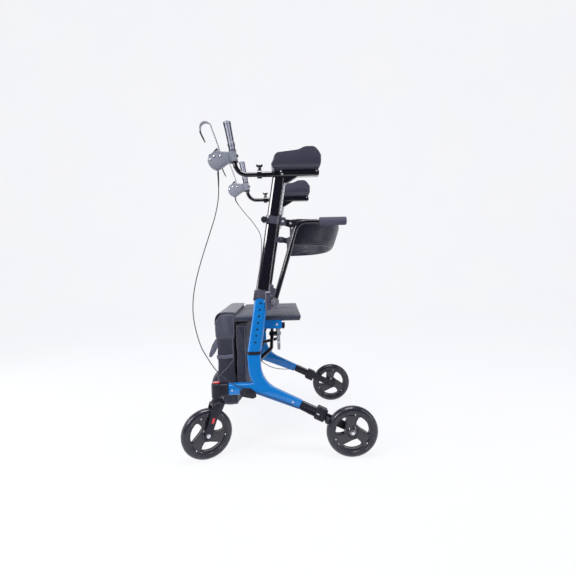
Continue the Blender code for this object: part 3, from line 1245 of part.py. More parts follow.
def build_middle():
    """Build what joins the sides: scissor brace, seat halves, backrest band and bag."""
    a_from, a_to = BRACE_A_X - 0.010, (BRACE_A_X + BRACE_B_X) / 2 - SEAT_GAP / 2
    b_from, b_to = a_to + SEAT_GAP, BRACE_B_X + 0.010
    brace_a, middle_z = build_brace("brace_a", "left", BRACE_A_X, a_from, a_to)
    brace_b, _ = build_brace("brace_b", "right", BRACE_B_X, b_from, b_to)
    bolt = build_centre_bolt(middle_z, a_from - SEAT_GAP, b_to + SEAT_GAP)
    hang(pivot("fold_lower_left", (BRACE_FOOT_X, out("left", 0) + POST_PLANE - BRACE_LOW_Y, BRACE_LOW_Z), (1, 0, 0)), brace_a, bolt)
    hang(pivot("fold_centre", ((a_from + b_to) / 2, 0, middle_z), (1, 0, 0)), brace_b)
    for side, s in SIDES.items():
        hang(pivot(side + "_seat_hinge", (0, s * BRACE_HIGH_Y, RAIL_Z), (1, 0, 0)), build_seat_half(side))
    hang(pivot("back_hinge", back_frame().translation, back_frame().to_3x3() @ Vector((0, 1, 0))), build_backrest())
    build_bag()


clear_scene()
for name_of_side in SIDES:
    build_side(name_of_side)
build_middle()
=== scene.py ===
"""Dressed model of an upright walking frame on wheels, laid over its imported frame.

Metres, +Z up. The frame travels along -X, the user's left is -Y and the floor is Z = 0.
"""
import functools
import logging
import math
from collections.abc import Iterable
from dataclasses import dataclass
from enum import Enum
from typing import Any

import bmesh
import bpy
import numpy as np
from mathutils import Matrix, Vector


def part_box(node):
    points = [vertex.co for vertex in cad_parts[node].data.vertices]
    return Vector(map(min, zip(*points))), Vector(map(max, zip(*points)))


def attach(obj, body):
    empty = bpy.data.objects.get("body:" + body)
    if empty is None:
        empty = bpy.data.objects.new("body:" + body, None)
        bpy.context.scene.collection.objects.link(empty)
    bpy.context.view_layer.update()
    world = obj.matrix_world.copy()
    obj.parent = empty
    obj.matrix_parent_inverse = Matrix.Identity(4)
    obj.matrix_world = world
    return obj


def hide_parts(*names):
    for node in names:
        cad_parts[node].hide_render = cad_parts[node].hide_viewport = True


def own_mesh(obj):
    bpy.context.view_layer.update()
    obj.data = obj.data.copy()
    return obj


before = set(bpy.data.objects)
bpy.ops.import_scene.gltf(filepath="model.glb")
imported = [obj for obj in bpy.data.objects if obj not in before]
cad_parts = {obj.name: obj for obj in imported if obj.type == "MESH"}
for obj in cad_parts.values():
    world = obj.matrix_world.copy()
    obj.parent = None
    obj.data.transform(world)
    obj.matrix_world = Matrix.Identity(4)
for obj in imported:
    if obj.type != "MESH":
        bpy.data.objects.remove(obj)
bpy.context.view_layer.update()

Array = np.ndarray
Colour = tuple[float, float, float]
log = logging.getLogger("upright_frame")

SEAT_GAP = 0.0003
POST_PLANE = 0.263
LEAN = math.radians(9.5)
AXIS_X, AXIS_Z = -0.07, 0.535
LEG_SLOPE = math.radians(26.5)
REAR_AXLE = (0.2792, 0.099)
WHEEL_RADIUS, TYRE_WIDTH = 0.099, 0.036
BRACE_FOOT = (-0.09, 0.236, 0.335)
BRAKE_PIN = (0.134, 0.012)
HOLE_PITCH = 0.0254
HINGE_X, HINGE_Z, HINGE_DROP = 0.04, 0.91, 0.032
SIDE_VIEW = Matrix.Rotation(math.radians(90.0), 4, "X")
ALONG_X = Matrix.Rotation(math.radians(90.0), 4, "Y")
X_WAY, Y_WAY, Z_WAY = (1.0, 0.0, 0.0), (0.0, 1.0, 0.0), (0.0, 0.0, 1.0)


class Side(Enum):
    """The two sides of the walking frame, with the sign of their Y."""

    LEFT = -1
    RIGHT = 1

    @property
    def hinge_z(self) -> float:
        """Return the height of the backrest's bolt, which is lower on the right."""
        return HINGE_Z if self is Side.LEFT else HINGE_Z - HINGE_DROP

    def out(self, distance: float = 0.0) -> float:
        """Return the Y that lies a distance outboard of this side's post plane."""
        return self.value * (POST_PLANE + distance)

    def name_of(self, thing: str) -> str:
        """Return the name of this side's node, body or piece."""
        return f"{self.name.lower()}_{thing}"

    def outward(self, face: int = 1) -> Matrix:
        """Return the turn that points local Z outboard, or inboard where face is -1."""
        return Matrix.Rotation(-face * self.value * math.radians(90.0), 4, "X")

    def face(self, x: float, distance: float, z: float) -> Matrix:
        """Return the frame at a distance outboard of the post plane, with local Z outboard."""
        return at(x, self.out(distance), z, self.outward())

    def view(self, distance: float = 0.0) -> Matrix:
        """Return the frame in which a side view (X, Z) is drawn, at a distance outboard."""
        return at(0, self.out(distance), 0, SIDE_VIEW)


def at(x: float, y: float, z: float, turn: Matrix | None = None) -> Matrix:
    """Return the matrix that turns a shape and then moves it to a point."""
    place = Matrix.Translation((x, y, z))
    return place @ turn if turn is not None else place


def axis_x(height: float) -> float:
    """Return the X of the leaning post axis at a height."""
    return AXIS_X + (height - AXIS_Z) * math.tan(LEAN)


def leg_point(distance: float, offset: float = 0.0) -> tuple[float, float]:
    """Return X, Z at a distance from the rear axle up the leg, and an offset above its centre."""
    return (REAR_AXLE[0] - distance * math.cos(LEG_SLOPE) + offset * math.sin(LEG_SLOPE),
            REAR_AXLE[1] + distance * math.sin(LEG_SLOPE) + offset * math.cos(LEG_SLOPE))


def unit(vectors: Array) -> Array:
    """Return vectors divided by their own lengths."""
    return vectors / np.maximum(np.linalg.norm(vectors, axis=-1, keepdims=True), 1e-12)


def smoothstep(low: float, high: float, value: Array) -> Array:
    """Return 3 t^2 - 2 t^3, where t runs from 0 at low to 1 at high."""
    t = np.clip((value - low) / (high - low), 0.0, 1.0)
    return t * t * (3.0 - 2.0 * t)


@dataclass(frozen=True)
class Shell:
    """Points and faces of a surface before it becomes a mesh."""

    points: Array
    quads: Array
    caps: tuple[tuple[int, ...], ...] = ()

    def __add__(self, other: "Shell") -> "Shell":
        """Return both surfaces as one.

        Args:
            other: what is added.

        Returns:
            Its surface.
        """
        shift = len(self.points)
        caps = tuple(tuple(i + shift for i in cap) for cap in other.caps)
        return Shell(np.vstack([self.points, other.points]), np.vstack([self.quads, other.quads + shift]),
                     self.caps + caps)

    def moved(self, place: Matrix) -> "Shell":
        """Return the surface carried by a matrix: p' = R p + t."""
        m = np.array(place)
        return Shell(self.points @ m[:3, :3].T + m[:3, 3], self.quads, self.caps)


def joined(shells: Iterable[Shell]) -> Shell:
    """Return several surfaces as one."""
    return functools.reduce(Shell.__add__, shells)


def lattice(rings: Array, wrap: bool = True, loop: bool = False, capped: bool = True) -> Shell:
    """Join a grid of points into quads.

    Args:
        rings: points of shape (rings, points per ring, 3).
        wrap: join the last point of each ring to its first.
        loop: join the last ring to the first.
        capped: close the first and last ring with a flat face.

    Returns:
        The surface: face (k, j) takes points (k, j), (k, j + 1), (k + 1, j + 1) and (k + 1, j).
    """
    count, size = rings.shape[:2]
    k = np.arange(count if loop else count - 1)[:, None]
    j = np.arange(size if wrap else size - 1)[None, :]
    after, right = (k + 1) % count, (j + 1) % size
    corners = np.broadcast_arrays(k * size + j, k * size + right, after * size + right, after * size + j)
    quads = np.stack(corners, axis=-1).reshape(-1, 4)
    caps = ()
    if capped and not loop:
        caps = (tuple(range(size)), tuple(range((count - 1) * size, count * size)))
    return Shell(rings.reshape(-1, 3), quads, caps)


def turned(profile: list[tuple[float, float]], place: Matrix, steps: int = 40, closed: bool = False,
           lobes: int = 0, depth: float = 0.0) -> Shell:
    """Turn a profile about local Z.

    The surface is (r cos a, r sin a, z) with r scaled by 1 + depth cos(lobes a).

    Args:
        profile: (radius, height) points from one end to the other.
        place: where the turned shape stands.
        steps: points in a full turn.
        closed: the profile is a ring that doesn't touch the axis.
        lobes: how many times the radius swells in a turn.
        depth: how much it swells, as a share of the radius.

    Returns:
        The turned surface.
    """
    line = np.array(profile, float)
    angle = np.linspace(0.0, 2 * np.pi, steps, endpoint=False)
    radius = line[:, :1] * (1.0 + depth * np.cos(lobes * angle))[None, :]
    rings = np.stack([radius * np.cos(angle), radius * np.sin(angle), np.repeat(line[:, 1:], steps, axis=1)],
                     axis=-1)
    open_ends = not closed and (line[0, 0] > 1e-9 or line[-1, 0] > 1e-9)
    return lattice(rings, loop=closed, capped=open_ends).moved(place)


def arc(centre: tuple[float, float], radius: float, start: float, end: float, steps: int) -> Array:
    """Return points on an arc between two angles in degrees."""
    angle = np.radians(np.linspace(start, end, steps + 1))
    return np.stack([centre[0] + radius * np.cos(angle), centre[1] + radius * np.sin(angle)], axis=-1)


def circle(radius: float, steps: int = 32) -> Array:
    """Return a closed ring of points about the origin."""
    return arc((0.0, 0.0), radius, 0.0, 360.0, steps)[:-1]


def lifted(line: Array, z: float = 0.0) -> Array:
    """Return flat points (x, y) as (x, y, z), all at one z."""
    return np.column_stack([line, np.full(len(line), z)])


def in_view(line: Array, y: float) -> Array:
    """Return side-view points (X, Z) as (X, Y, Z), all at one Y."""
    return np.column_stack([line[:, 0], np.full(len(line), y), line[:, 1]])


def rounded_rectangle(width: float, depth: float, corner: float, steps: int = 6) -> Array:
    """Return a rectangle outline whose corners are arcs.

    Args:
        width: its whole size along the first axis.
        depth: its whole size along the second axis.
        corner: the radius of its corners.
        steps: how many points take up a curve.

    Returns:
        Its points.
    """
    x, y = width / 2 - corner, depth / 2 - corner
    corners = (((x, y), 0.0), ((-x, y), 90.0), ((-x, -y), 180.0), ((x, -y), 270.0))
    return np.vstack([arc(centre, corner, start, start + 90.0, steps) for centre, start in corners])


def filleted(corners: Array | list, radius: float, steps: int = 10, closed: bool = False) -> Array:
    """Return a path whose corners are arcs.

    The arc is m + r (a cos w + b sin w): m lies on the bisector, r / sin(half) from the corner.

    Args:
        corners: the path's corners.
        radius: the radius r of every arc.
        steps: spans of one arc.
        closed: the path is a ring, so its first and last corner are rounded too.

    Returns:
        The points of the rounded path.
    """
    points = np.array(corners, float)
    count = len(points)
    runs = [] if closed else [points[:1]]
    for i in range(count) if closed else range(1, count - 1):
        corner = points[i]
        first, second = unit(points[i - 1] - corner), unit(points[(i + 1) % count] - corner)
        half = 0.5 * math.acos(float(np.clip(first @ second, -1.0, 1.0)))
        reach = radius / math.tan(half)
        middle = corner + unit(first + second) * (radius / math.sin(half))
        start, end = corner + first * reach - middle, corner + second * reach - middle
        share = np.linspace(0.0, 1.0, steps + 1)[:, None]
        bend = math.pi - 2 * half
        arcs = (np.sin((1 - share) * bend) * start + np.sin(share * bend) * end) / math.sin(bend)
        runs.append(middle + arcs)
    return np.vstack(runs if closed else runs + [points[-1:]])


def flowing(points: Array | list, per_span: int = 6) -> Array:
    """Return the Catmull-Rom curve through points, as a whole array of cubic spans.

    Args:
        points: the points that the line runs through.
        per_span: points from each to the next.

    Returns:
        Its points.
    """
    knots = np.array(points, float)
    knots = np.vstack([2 * knots[0] - knots[1], knots, 2 * knots[-1] - knots[-2]])
    a, b, c, d = (knots[i:len(knots) - 3 + i, None, :] for i in range(4))
    t = np.linspace(0.0, 1.0, per_span, endpoint=False)[None, :, None]
    curve = 0.5 * (2 * b + (c - a) * t + (2 * a - 5 * b + 4 * c - d) * t ** 2
                   + (3 * b - a - 3 * c + d) * t ** 3)
    return np.vstack([curve.reshape(-1, knots.shape[1]), knots[-2]])


def sweep(path: Array, section: Array, across: Colour = Y_WAY, loop: bool = False,
          scale: Array | None = None) -> Shell:
    """Carry a section along a path.

    Ring k is p_k + s_k (u a_k + v b_k): t_k is the mean of the two unit steps at p_k, a_k is the
    fixed direction less its part along t_k, and b_k is t_k cross a_k.

    Args:
        path: points of shape (n, 3).
        section: outline points (u, v).
        across: the fixed direction that u follows.
        loop: the path closes on itself.
        scale: one factor for each ring.

    Returns:
        The swept surface with flat ends.
    """
    path = np.asarray(path, float)
    if loop:
        steps = unit(np.roll(path, -1, axis=0) - path)
        tangent = unit(steps + np.roll(steps, 1, axis=0))
    else:
        steps = unit(np.diff(path, axis=0))
        tangent = unit(np.vstack([steps[:1], steps[:-1] + steps[1:], steps[-1:]]))
    fixed = np.array(across, float)[None, :]
    first = unit(fixed - (tangent @ fixed.T) * tangent)
    second = np.cross(tangent, first)
    size = np.ones(len(path)) if scale is None else np.asarray(scale, float)
    flat = np.asarray(section, float)[None, :, :] * size[:, None, None]
    rings = path[:, None, :] + flat[..., :1] * first[:, None, :] + flat[..., 1:] * second[:, None, :]
    return lattice(rings, loop=loop)


def round_bar(path: Array, radius: float, sides: int, across: Colour = Y_WAY, **options: Any) -> Shell:
    """Return a round bar along a path, with sweep's own options."""
    return sweep(path, circle(radius, sides), across, **options)


def plate(outline: Array, thickness: float, place: Matrix, edge: float = 0.0, steps: int = 3) -> Shell:
    """Thicken an outline and round its rims.

    Ring k is the outline moved inwards by e (1 - sin w) at height h - e (1 - cos w), for w from
    0 to 90 degrees at each rim, where e is the edge radius.

    Args:
        outline: the closed outline, seen along the plate's normal.
        thickness: how thick it is.
        place: where it stands.
        edge: the width of its eased edges.
        steps: how many points take up a curve.

    Returns:
        Its surface.
    """
    line = np.asarray(outline, float)
    forward, back = unit(np.roll(line, -1, axis=0) - line), unit(line - np.roll(line, 1, axis=0))
    tangent = unit(forward + back)
    area = float(np.sum(line[:, 0] * np.roll(line[:, 1], -1) - np.roll(line[:, 0], -1) * line[:, 1]))
    inward = np.stack([-tangent[:, 1], tangent[:, 0]], axis=-1) * math.copysign(1.0, area)
    half = thickness / 2
    if edge <= 0:
        heights, insets = np.array([-half, half]), np.zeros(2)
    else:
        w = np.linspace(0.0, math.pi / 2, steps + 1)
        heights = np.concatenate([-half + edge * (1 - np.cos(w)), half - edge * (1 - np.cos(w[::-1]))])
        insets = np.concatenate([edge * (1 - np.sin(w)), edge * (1 - np.sin(w[::-1]))])
    flat = line[None, :, :] + inward[None, :, :] * insets[:, None, None]
    rings = np.concatenate([flat, np.broadcast_to(heights[:, None, None], flat.shape[:2] + (1,))], axis=-1)
    return lattice(rings).moved(place)


def block(size: tuple[float, float, float], place: Matrix, edge: float, corner: float | None = None) -> Shell:
    """Return a box with rounded edges: a rounded rectangle thickened along local Z."""
    return plate(rounded_rectangle(size[0], size[1], corner or edge * 1.2, 4), size[2], place, edge)


def rod(radius: float, length: float, place: Matrix, edge: float = 0.0006, steps: int = 32) -> Shell:
    """Return a cylinder along local Z with eased rims."""
    return plate(circle(radius, steps), length, place, edge, 2)


def dome(radius: float, height: float, place: Matrix, steps: int = 20) -> Shell:
    """Return a rivet's round head: r cos w across and h sin w up, for w from 0 to 90 degrees.

    Args:
        radius: its radius.
        height: its height.
        place: where it stands.
        steps: how many points take up a curve.

    Returns:
        Its surface.
    """
    w = np.linspace(math.pi / 2, 0.0, 7)
    profile = [(radius * math.cos(a), height * math.sin(a)) for a in w] + [(0.0, 0.0)]
    return turned(profile, place, steps)


def pierced(name: str, loops: list[Array], thickness: float, place: Matrix, edge: float,
            steps: int = 2) -> Shell:
    """Return a plate with holes: flat closed curves, filled, thickened and given round rims.

    Args:
        name: the curve's name while it lasts.
        loops: the outline and then the holes.
        thickness: the plate's thickness.
        place: where the plate stands, with its middle at local Z = 0.
        edge: radius of the rims.
        steps: how finely a rim is rounded.

    Returns:
        The plate's surface.
    """
    curve = bpy.data.curves.new(name, "CURVE")
    curve.dimensions = "2D"
    curve.fill_mode = "BOTH"
    curve.extrude = thickness / 2 - edge
    curve.bevel_depth = edge
    curve.bevel_resolution = steps
    curve.offset = -edge
    for loop in loops:
        spline = curve.splines.new("POLY")
        spline.points.add(len(loop) - 1)
        spline.points.foreach_set("co", np.column_stack([lifted(loop), np.ones(len(loop))]).ravel())
        spline.use_cyclic_u = True
    shape = bpy.data.objects.new(name, curve)
    bpy.context.scene.collection.objects.link(shape)
    bpy.context.view_layer.update()
    mesh = bpy.data.meshes.new_from_object(shape.evaluated_get(bpy.context.evaluated_depsgraph_get()))
    points = np.empty(len(mesh.vertices) * 3)
    mesh.vertices.foreach_get("co", points)
    caps = tuple(tuple(face.vertices) for face in mesh.polygons)
    bpy.data.objects.remove(shape, do_unlink=True)
    bpy.data.meshes.remove(mesh)
    return Shell(points.reshape(-1, 3), np.zeros((0, 4), int), caps).moved(place)


class Value:
    """A socket of a node tree that takes part in Python arithmetic."""

    def __init__(self, graph: "Graph", socket: bpy.types.NodeSocket) -> None:
        """Keep the graph and the socket."""
        self.graph = graph
        self.socket = socket

    def math(self, operation: str, other: Any = 0.0) -> "Value":
        """Return the result of a Math node on this value and another."""
        return self.graph.node("ShaderNodeMath", {"operation": operation}, {0: self, 1: other})

    def __add__(self, other: Any) -> "Value":
        """Return self + other."""
        return self.math("ADD", other)

    def __mul__(self, other: Any) -> "Value":
        """Return self * other."""
        return self.math("MULTIPLY", other)

    def smooth(self, low: float, high: float) -> "Value":
        """Return the value mapped smoothly from low..high to 0..1."""
        return self.graph.node("ShaderNodeMapRange", {"interpolation_type": "SMOOTHSTEP"},
                               {"Value": self, "From Min": low, "From Max": high})

    def beside(self, output: str) -> "Value":
        """Return another output of the same node."""
        return Value(self.graph, self.socket.node.outputs[output])


class Graph:
    """A node tree that is built up from an empty one."""

    def __init__(self, tree: bpy.types.NodeTree) -> None:
        """Empty the tree."""
        self.tree = tree
        tree.nodes.clear()

    def node(self, kind: str, settings: dict[str, Any] | None = None, sockets: dict[Any, Any] | None = None,
             output: int | str = 0) -> Value:
        """Add a node.

        Args:
            kind: the node's type.
            settings: its own properties, set first.
            sockets: values or links for its inputs.
            output: which output to return.

        Returns:
            The chosen output.
        """
        made = self.tree.nodes.new(kind)
        for key, value in (settings or {}).items():
            setattr(made, key, value)
        for key, value in (sockets or {}).items():
            if isinstance(value, Value):
                self.tree.links.new(value.socket, made.inputs[key])
            else:
                made.inputs[key].default_value = value
        return Value(self, made.outputs[output])

    def place(self, stretch: Colour = (1.0, 1.0, 1.0)) -> Value:
        """Return object coordinates, stretched."""
        where = self.node("ShaderNodeTexCoord", output="Object")
        return self.node("ShaderNodeMapping", None, {"Vector": where, "Scale": stretch})

    def noise(self, scale: float, detail: float = 3.0, where: Value | None = None) -> Value:
        """Return fractal noise between 0 and 1."""
        return self.node("ShaderNodeTexNoise", None,
                         {"Vector": where or self.place(), "Scale": scale, "Detail": detail})

    def cells(self, scale: float, feature: str = "F1") -> Value:
        """Return the distance to cell centres, or to cell edges."""
        return self.node("ShaderNodeTexVoronoi", {"feature": feature},
                         {"Vector": self.place(), "Scale": scale})

    def mix(self, share: Any, first: Any, second: Any) -> Value:
        """Return a colour between two."""
        ends = [c if isinstance(c, Value) else (*c, 1.0) for c in (first, second)]
        return self.node("ShaderNodeMix", {"data_type": "RGBA"}, {0: share, 6: ends[0], 7: ends[1]}, 2)

    def relief(self, height: Value, depth: float, under: Value | None = None) -> Value:
        """Return a normal from a height that spans a depth in metres, over another normal.

        Args:
            height: the height from 0 to 1.
            depth: the depth in metres.
            under: the normal below, if any.

        Returns:
            The value.
        """
        sockets = {"Height": height, "Distance": depth, "Strength": 1.0}
        if under is not None:
            sockets["Normal"] = under
        return self.node("ShaderNodeBump", None, sockets)

    def blend(self, share: Value, first: Value, second: Value) -> Value:
        """Return a shader between two."""
        return self.node("ShaderNodeMixShader", None, {0: share, 1: first, 2: second})

    def end(self, shader: Value, kind: str = "ShaderNodeOutputMaterial") -> None:
        """Link a shader to the tree's output."""
        self.tree.links.new(shader.socket, self.tree.nodes.new(kind).inputs["Surface"])


def new_material(name: str) -> tuple[bpy.types.Material, Graph]:
    """Return a new material and its empty tree.

    Args:
        name: its name.

    Returns:
        The material and its node tree.
    """
    material = bpy.data.materials.new(name)
    material.use_nodes = True
    return material, Graph(material.node_tree)


@dataclass(frozen=True)
class Finish:
    """A plain painted surface, and the base of the other finishes.

    Colour is linear. Tone is how far the colour drifts over the surface, and gloss_drift how far
    the roughness does.
    """

    name: str
    colour: Colour
    roughness: float
    slot: str
    metallic: float = 0.0
    coat: float = 0.0
    tone: float = 0.12
    gloss_drift: float = 0.1
    specular: float = 0.35
    coat_ior: float = 1.5
    coat_roughness: float = 0.07

    def drift(self, graph: Graph) -> Value:
        """Return the slow mottling that colour and roughness share."""
        return graph.noise(22.0, 4.0)

    def tint(self, graph: Graph) -> Value:
        """Return the colour over the surface.

        Args:
            graph: the material's node tree.

        Returns:
            The value.
        """
        low = tuple(c * (1.0 - self.tone) for c in self.colour)
        high = tuple(min(1.0, c * (1.0 + self.tone)) for c in self.colour)
        return graph.mix(self.drift(graph), low, high)

    def surface(self, graph: Graph) -> Value:
        """Return the surface relief as a normal: faint orange peel under the gloss."""
        return graph.relief(graph.noise(520.0, 1.0), 0.00003)

    def constants(self) -> dict[str, Any]:
        """Return the sockets that are the same all over."""
        return {"Metallic": self.metallic, "Coat Weight": self.coat, "Coat Roughness": self.coat_roughness,
                "Coat IOR": self.coat_ior, "Specular IOR Level": self.specular}

    @functools.lru_cache(maxsize=None)
    def material(self) -> bpy.types.Material:
        """Return the finish as a material, made once.

        The roughness is r (1 - d + 2 d n), where d is gloss_drift and n the slow mottling.

        Returns:
            The material.
        """
        material, graph = new_material(self.name)
        base = self.roughness * (1 - self.gloss_drift)
        rough = self.drift(graph) * (2 * self.gloss_drift * self.roughness) + base
        sockets = {"Base Color": self.tint(graph), "Roughness": rough, "Normal": self.surface(graph),
                   **self.constants()}
        graph.end(graph.node("ShaderNodeBsdfPrincipled", None, sockets))
        return material


@dataclass(frozen=True)
class Moulded(Finish):
    """Moulded plastic with a spark-eroded grain, dusty in its hollows."""

    grain: float = 900.0
    depth: float = 0.00006

    def tint(self, graph: Graph) -> Value:
        """Return the colour, a little paler where dust sits."""
        dust = graph.noise(60.0, 5.0).smooth(0.52, 0.74)
        return graph.mix(dust * 0.35, super().tint(graph), tuple(0.82 * c + 0.035 for c in self.colour))

    def surface(self, graph: Graph) -> Value:
        """Return fine pits over a slower wave of the wall."""
        pits = graph.cells(self.grain) * 0.6 + graph.noise(self.grain * 0.7, 2.0) * 0.4
        return graph.relief(pits, self.depth)


@dataclass(frozen=True)
class Brushed(Finish):
    """Metal brushed along one direction."""

    stretch: Colour = (1.0, 1.0, 0.04)

    def surface(self, graph: Graph) -> Value:
        """Return hair lines: noise drawn out along the brushing."""
        return graph.relief(graph.noise(1400.0, 2.0, graph.place(self.stretch)), 0.00002)


@dataclass(frozen=True)
class Leatherette(Finish):
    """Coated fabric with a pebbled grain, soft creases and dulled high spots, and painted shade between the
    pebbles.
    """

    pebble: float = 520.0

    def tint(self, graph: Graph) -> Value:
        """Return the colour, with painted shade: darker between the pebbles."""
        # painted shade: the colour darkens in the hollows between the pebbles
        gap = graph.cells(self.pebble, "DISTANCE_TO_EDGE").smooth(0.02, 0.16)
        return graph.mix(gap, tuple(0.55 * c for c in self.colour), super().tint(graph))

    def surface(self, graph: Graph) -> Value:
        """Return pebbles over slow creases."""
        creases = graph.relief(graph.noise(26.0, 3.0, graph.place((1.0, 1.0, 2.2))), 0.0016)
        return graph.relief(graph.cells(self.pebble, "DISTANCE_TO_EDGE").smooth(0.0, 0.22), 0.00016, creases)

    def constants(self) -> dict[str, Any]:
        """Return the sockets that are the same all over, with a faint sheen."""
        return {**super().constants(), "Sheen Weight": 0.12, "Sheen Roughness": 0.4}


@dataclass(frozen=True)
class Foam(Finish):
    """Closed-cell foam with its cut cells open."""

    def surface(self, graph: Graph) -> Value:
        """Return small round pits."""
        return graph.relief(graph.cells(1100.0) + graph.noise(300.0, 3.0) * 0.5, 0.0002)


@dataclass(frozen=True)
class Woven(Finish):
    """Plain-woven cloth: warp and weft as two crossed waves, with slow rumples."""

    pitch: float = 0.0011

    def surface(self, graph: Graph) -> Value:
        """Return the weave: sin(k z) sin(k (x + y)), over rumples.

        Args:
            graph: the material's node tree.

        Returns:
            The value.
        """
        x = graph.node("ShaderNodeSeparateXYZ", None, {"Vector": graph.place()})
        k = 2 * math.pi / self.pitch
        threads = (x.beside("Z") * k).math("SINE") * ((x + x.beside("Y")) * k).math("SINE")
        return graph.relief(threads, 0.00012, graph.relief(graph.noise(34.0, 5.0), 0.0022))

    def constants(self) -> dict[str, Any]:
        """Return the sockets that are the same all over, with the sheen of cloth."""
        return {**super().constants(), "Sheen Weight": 0.2, "Sheen Roughness": 0.5}


BLUE_PAINT = Finish("blue_gloss_paint", (0.002, 0.166, 0.505), 0.3, "blue_paint", coat=0.9, tone=0.06,
                    specular=0.1)
BLACK_PAINT = Finish("black_gloss_coat", (0.004, 0.0034, 0.0098), 0.24, "black_gloss", coat=1.0, tone=0.15,
                     specular=0.1, coat_ior=1.65)
BLACK_PLASTIC = Moulded("black_moulded_plastic", (0.013, 0.0122, 0.0225), 0.38, "black_plastic")
WHEEL_PLASTIC = Moulded("wheel_plastic", (0.0125, 0.0118, 0.022), 0.26, "wheel", coat=0.5, depth=0.00003,
                        specular=0.5)
TYRE_RUBBER = Moulded("soft_tyre", (0.0145, 0.0138, 0.0255), 0.32, "wheel", coat=0.4, grain=500.0,
                      depth=0.00004,
                      specular=0.45)
GREY_CAST = Moulded("grey_cast_plastic", (0.195, 0.205, 0.25), 0.36, "grey_cast", grain=700.0, specular=0.45)
COLLAR_CAST = Moulded("smoked_cast_plastic", (0.064, 0.064, 0.094), 0.26, "grey_cast", coat=0.7, grain=700.0,
                      specular=0.6)
KNOB_CAST = Moulded("knob_cast_plastic", (0.13, 0.13, 0.16), 0.28, "grey_cast", coat=0.8, grain=500.0,
                    specular=0.6)
GRIP_GREY = Moulded("hand_grip_rubber", (0.31, 0.32, 0.385), 0.34, "grip_rubber", grain=600.0, specular=0.5)
STEEL = Brushed("brushed_steel_strip", (0.31, 0.315, 0.36), 0.38, "silver", metallic=0.35)
# near-white colour paints the highlight on the post's rear edge
FLANGE = Brushed("punched_steel_painted_highlight", (0.74, 0.745, 0.78), 0.4, "silver", metallic=0.2)
ZINC = Brushed("bright_zinc_bolt", (0.72, 0.73, 0.77), 0.28, "silver", metallic=0.55, stretch=(1.0, 1.0, 1.0))
PAD_COVER = Leatherette("pad_leatherette", (0.047, 0.047, 0.08), 0.42, "leatherette", coat=0.6, specular=0.4,
                        coat_roughness=0.17)
SEAT_COVER = Leatherette("seat_leatherette", (0.044, 0.048, 0.082), 0.46, "leatherette")
BAND_COVER = Leatherette("backrest_leatherette", (0.021, 0.022, 0.04), 0.42, "leatherette", coat=0.12,
                         pebble=420.0,
                         coat_roughness=0.25)
PIPING = Leatherette("piping", (0.016, 0.016, 0.026), 0.4, "leatherette", pebble=700.0)
GRIP_FOAM = Foam("grip_foam", (0.07, 0.071, 0.105), 0.8, "foam")
BAG_CLOTH = Woven("bag_cloth", (0.028, 0.03, 0.05), 0.62, "fabric")
BAG_COVER = Leatherette("bag_lid_leatherette", (0.088, 0.09, 0.13), 0.46, "fabric", coat=0.3,
                        coat_roughness=0.25)
THREAD = Finish("sewing_thread", (0.15, 0.152, 0.195), 0.6, "leatherette")
BAG_TRIM = Woven("bag_binding", (0.105, 0.108, 0.15), 0.6, "fabric", pitch=0.0016)
CABLE_SKIN = Moulded("cable_housing", (0.045, 0.045, 0.056), 0.42, "cable")
REFLECTOR = Finish("red_reflector", (0.62, 0.02, 0.025), 0.18, "black_plastic", coat=0.8)


